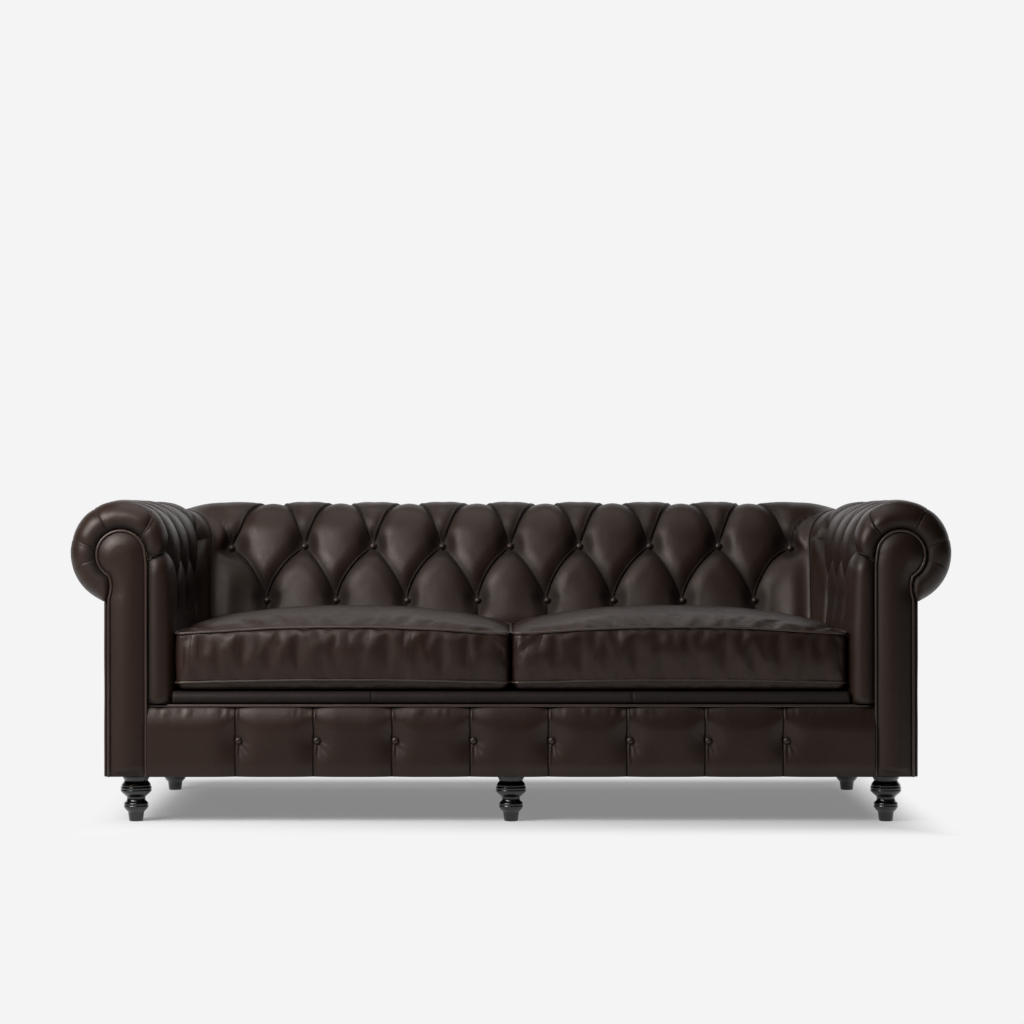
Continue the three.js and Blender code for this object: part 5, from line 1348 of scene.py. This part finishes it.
def cushionBase():
    bm = bmesh.new()
    levels = [("bottom", share) for share in (0.3, 0.7, 0.9)]
    levels += [("under", inset) for inset in reversed(cushion["under"])]
    levels += [("side", share / 6) for share in range(7)]
    levels += [("over", share) for share in (0.96, 0.88, 0.7, 0.4, 0.12)]
    rings = []
    for kind, share in levels:
        verts = []
        inset = cushion["drawIn"] * 0.5 + (share if kind == "under" else 0)
        for planX, planY in cushionPlan(inset):
            grow = share if kind in ("bottom", "over") else 1
            x, y = mix(cushion["middleX"], planX, grow), mix(cushion["middleY"], planY, grow)
            low, top = seamHeights(x, y)
            if kind == "over":
                z = top + (cushion["crown"] - cushion["crownLoss"]) * cushionCrown(x, y)
            elif kind == "side":
                z = mix(low, top, share)
                y -= frontSwell(x, y, share)
            else:
                inward = 1 - min(1, share / cushion["underReach"]) if kind == "under" else 0
                z = mix(low, cushion["sideBottom"] - cushion["sag"] + cushion["clear"], math.sqrt(1 - inward ** 2))
            verts.append(bm.verts.new((x, y, z)))
        rings.append([bm.edges.new((verts[index - 1], verts[index])) for index in range(len(verts))])
    for first, second in zip(rings, rings[1:]):
        bmesh.ops.bridge_loops(bm, edges=first + second)
    for ring in (rings[0], rings[-1]):
        bmesh.ops.contextual_create(bm, geom=ring)
    bmesh.ops.recalc_face_normals(bm, faces=bm.faces)
    return bm


def seamPath(level, sign):
    path = []
    for x, y in cushionPlan(-cushion["pipingOut"]):
        wobble = cushion["wobble"] * waver(x * 22, y * 22, level * 5)
        path.append(Vector((sign * x, y, seamHeights(x, y)[level] + wobble)))
    return path


def takeForm(piece):  # what the modifiers make becomes the mesh
    made = bpy.data.meshes.new_from_object(piece.evaluated_get(bpy.context.evaluated_depsgraph_get()))
    piece.modifiers.clear()
    piece.data = made


def cushionForm(name):
    piece = meshObject(name, cushionBase())
    remesh = piece.modifiers.new("even mesh", "REMESH")
    remesh.mode, remesh.voxel_size = "VOXEL", cushion["voxel"]
    takeForm(piece)
    return piece


def nearZip(place, reach):
    return place.y > cushion["rearY"] - 0.02 and abs(place.z - cushion["zipZ"]) < reach


def isPinned(place, seams):  # at the seams, underneath and round the zip
    x, y, z = place
    fromSeam = min(abs(z - height) for height in seamHeights(x, y))
    fromRim = min((Vector((x, y)) - Vector(seam)).length for seam in seams)
    onSeam = fromSeam < cushion["seamZone"] and fromRim < cushion["rimZone"]
    return onSeam or z < cushion["sideBottom"] - cushion["pinnedDepth"] or nearZip(place, cushion["zipPinned"])


def inflate(piece):  # blows the leather up between its seams, by no more than the cap
    seams = cushionPlan(cushion["drawIn"] * 0.6)[::2]
    sewn = piece.vertex_groups.new(name="sewn")
    for vert in piece.data.vertices:
        if isPinned(vert.co, seams):
            sewn.add([vert.index], 1.0, "REPLACE")
    rest = [vert.co.copy() for vert in piece.data.vertices]
    cloth = piece.modifiers.new("cloth", "CLOTH")
    for name, value in stuffing.items():
        setattr(cloth.settings, name, value)
    cloth.settings.effector_weights.gravity = 0
    cloth.collision_settings.use_collision = False
    for frameNumber in range(1, cushion["frames"] + 1):
        scene.frame_set(frameNumber)
    takeForm(piece)
    for vert, old in zip(piece.data.vertices, rest):
        move = vert.co - old
        if move.length > cushion["cap"]:
            vert.co = old + move.normalized() * cushion["cap"]
    scene.frame_set(1)


def fitCushion(bm):
    spareInner, spareOuter = cushion["sideSpare"]
    for vert in bm.verts:  # the leather lies in behind the zip, and never past its neighbours
        if nearZip(vert.co, cushion["zipLaid"]) and vert.co.x < cushion["zipEnd"]:
            vert.co.y = min(vert.co.y, cushion["zipY"])
        vert.co.x = min(max(vert.co.x, cushion["minX"] - spareInner), cushion["maxX"] + spareOuter)
        vert.co.z = max(vert.co.z, cushion["sideBottom"] - cushion["sag"] + cushion["underClear"])
    for turn in range(3):
        bmesh.ops.smooth_vert(bm, verts=bm.verts, factor=cushion["smoothing"], use_axis_x=True, use_axis_y=True,
                              use_axis_z=True)
    for vert in bm.verts:  # the boxing stays outside the foam, and folds a little in front
        x, y, z = vert.co
        low, top = seamHeights(x, y)
        if low + cushion["seamEase"] < z < top - cushion["seamEase"]:
            distance, outward = planDistance(x, y)
            if distance < -cushion["outsideFoam"]:
                vert.co += outward * (-cushion["outsideFoam"] - distance)
            share = (z - low) / (top - low)
            vert.co.y -= frontFolds(x, z) * atFront(y) * math.sin(math.pi * share) ** 0.5


def finishCushion(piece, sideName, sign):
    bm = bmesh.new()
    bm.from_mesh(piece.data)
    fitCushion(bm)
    if sign < 0:
        mirrorOver(bm)
    bm.to_mesh(piece.data)
    bm.free()
    for polygon in piece.data.polygons:
        polygon.use_smooth = True
    piece.data.materials.clear()
    piece.data.materials.append(cushionLeather)
    rounded = piece.modifiers.new("soft", "SUBSURF")
    rounded.levels = rounded.render_levels = 1
    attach(piece, f"seat_cushion_{sideName}")
    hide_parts(f"seat_cushion_cover_{sideName}")
    pipings = bmesh.new()
    for level in (0, 1):
        tube(pipings, seamPath(level, sign), cushion["piping"], 8, closed=True)
    newPiece(f"cushionPiping_{sideName}", pipings, pipingLeather, f"seat_cushion_{sideName}", ())


for sideName, sign in (("right", 1), ("left", -1)):
    piece = cushionForm(f"seatCushion_{sideName}")
    inflate(piece)
    finishCushion(piece, sideName, sign)
    print("cushion made:", sideName, len(piece.data.polygons), "faces")


# studio

studio = {
    "white": (0.905, 0.905, 0.905, 1), "floor": (0.92, 0.92, 0.915, 1), "second": (0.9, 0.9, 0.9, 1),
    "veil": 0.26, "halfWidth": 5.0, "front": -3.2, "wallY": 2.6, "cove": 0.6, "height": 2.9,
    "fadeX": (0.90, 1.10), "fadeY": (0.47, 0.74), "bounce": (0.28, 0.28, 0.28, 1), "ambient": 0.025,
    "mirrored": 0.03,
}


def studioMaterial():  # near the sofa a floor that takes its shadow, further out a plain white field
    material, tree, shader = makeMaterial("studio sweep")
    tree.nodes.remove(shader)
    place = objectPlace(tree)
    parts = addNode(tree, "ShaderNodeSeparateXYZ")
    put(tree, place, parts.inputs[0])
    fades = [ranged(tree, maths(tree, "ABSOLUTE", parts.outputs[axis]), *reach, studio["veil"], 1,
                    interpolation_type="SMOOTHSTEP")
             for axis, reach in (("X", studio["fadeX"]), ("Y", studio["fadeY"]))]
    near = maths(tree, "MAXIMUM", *fades)
    mottle = texture(tree, noiseTexture, place, Scale=3)
    lit = addNode(tree, "ShaderNodeBsdfDiffuse")
    put(tree, mixColour(tree, mottle, studio["floor"], studio["second"]), lit.inputs["Color"])
    white = addNode(tree, "ShaderNodeEmission")
    white.inputs["Color"].default_value = studio["white"]
    field = blended(tree, near, lit.outputs[0], white.outputs[0])
    path = addNode(tree, "ShaderNodeLightPath").outputs
    seen = maths(tree, "MAXIMUM", path["Is Camera Ray"],
                 maths(tree, "MAXIMUM", path["Is Glossy Ray"], path["Is Transmission Ray"]))
    dim = addNode(tree, "ShaderNodeBsdfDiffuse")
    dim.inputs["Color"].default_value = studio["bounce"]
    chosen = blended(tree, seen, dim.outputs[0], field)
    clear = addNode(tree, "ShaderNodeBsdfTransparent")  # the wall doesn't hide the sofa from behind
    behind = addNode(tree, "ShaderNodeNewGeometry").outputs["Backfacing"]
    put(tree, blended(tree, behind, chosen, clear.outputs[0]), tree.nodes["Material Output"].inputs["Surface"])
    return material


def studioSweep():  # floor, a cove and a back wall in one sheet
    profile = [(studio["front"], 0), (studio["wallY"] - studio["cove"], 0)]
    for step in range(1, 13):
        angle = step / 12 * math.pi / 2
        profile.append((studio["wallY"] - studio["cove"] * (1 - math.sin(angle)),
                        studio["cove"] * (1 - math.cos(angle))))
    profile.append((studio["wallY"], studio["height"]))
    bm, places = grid(1, len(profile) - 1)
    for (column, row), vert in places.items():
        vert.co = Vector(((2 * column - 1) * studio["halfWidth"], *profile[row]))
    facesOut(bm, Vector((0, 0, 0)), Vector((0, 0, 1)))
    meshObject("studioSweep", bm, studioMaterial())


def studioWorld():  # the same white where the camera sees past the sweep, and a weak even light
    world = bpy.data.worlds.new("studio")
    world.use_nodes = True
    scene.world = world
    tree = world.node_tree
    ambient = tree.nodes["Background"]
    ambient.inputs["Color"].default_value = (1, 1, 1, 1)
    ambient.inputs["Strength"].default_value = studio["ambient"]
    white = addNode(tree, "ShaderNodeBackground")
    white.inputs["Color"].default_value = studio["white"]
    path = addNode(tree, "ShaderNodeLightPath").outputs
    mirrored = maths(tree, "MULTIPLY", path["Is Glossy Ray"], studio["mirrored"])
    seen = maths(tree, "MAXIMUM", path["Is Camera Ray"],
                 maths(tree, "MAXIMUM", mirrored, path["Is Transmission Ray"]))
    chosen = blended(tree, seen, ambient.outputs[0], white.outputs[0])
    put(tree, chosen, tree.nodes["World Output"].inputs["Surface"])


studioSweep()
studioWorld()

lamps = {
    "left softbox": {"at": (-2.4, -1.95, 2.0), "to": (-0.65, 0, 0.45), "size": (1.5, 1.4), "power": 76},
    "front strip": {"at": (-1.5, -2.3, 2.6), "to": (-0.65, -0.4, 0.3), "size": (1.7, 0.7), "power": 27},
    "overhead": {"at": (-0.35, -0.4, 3.2), "to": (-0.1, -0.4, 0), "size": (4.0, 2.4), "power": 34},
}
for name, facts in lamps.items():
    lamp = bpy.data.lights.new(name, "AREA")
    lamp.shape = "RECTANGLE"
    lamp.size, lamp.size_y = facts["size"]
    lamp.energy = facts["power"]
    holder = addObject(name, lamp)
    holder.location = facts["at"]
    holder.rotation_euler = (Vector(facts["to"]) - Vector(facts["at"])).to_track_quat("-Z", "Y").to_euler()

view = {"distance": 6.675, "height": 0.754, "focalPixels": 2494, "pixels": 1024, "shiftX": 1 / 1024,
        "shiftY": 9 / 1024, "sensor": 36}
camera = bpy.data.cameras.new("photo view")
camera.sensor_width = view["sensor"]
camera.lens = view["sensor"] * view["focalPixels"] / view["pixels"]
camera.shift_x, camera.shift_y = view["shiftX"], view["shiftY"]
scene.camera = addObject("photo view", camera)
scene.camera.location = (0, -view["distance"], view["height"])
scene.camera.rotation_euler = (math.pi / 2, 0, 0)

print("scene ready")
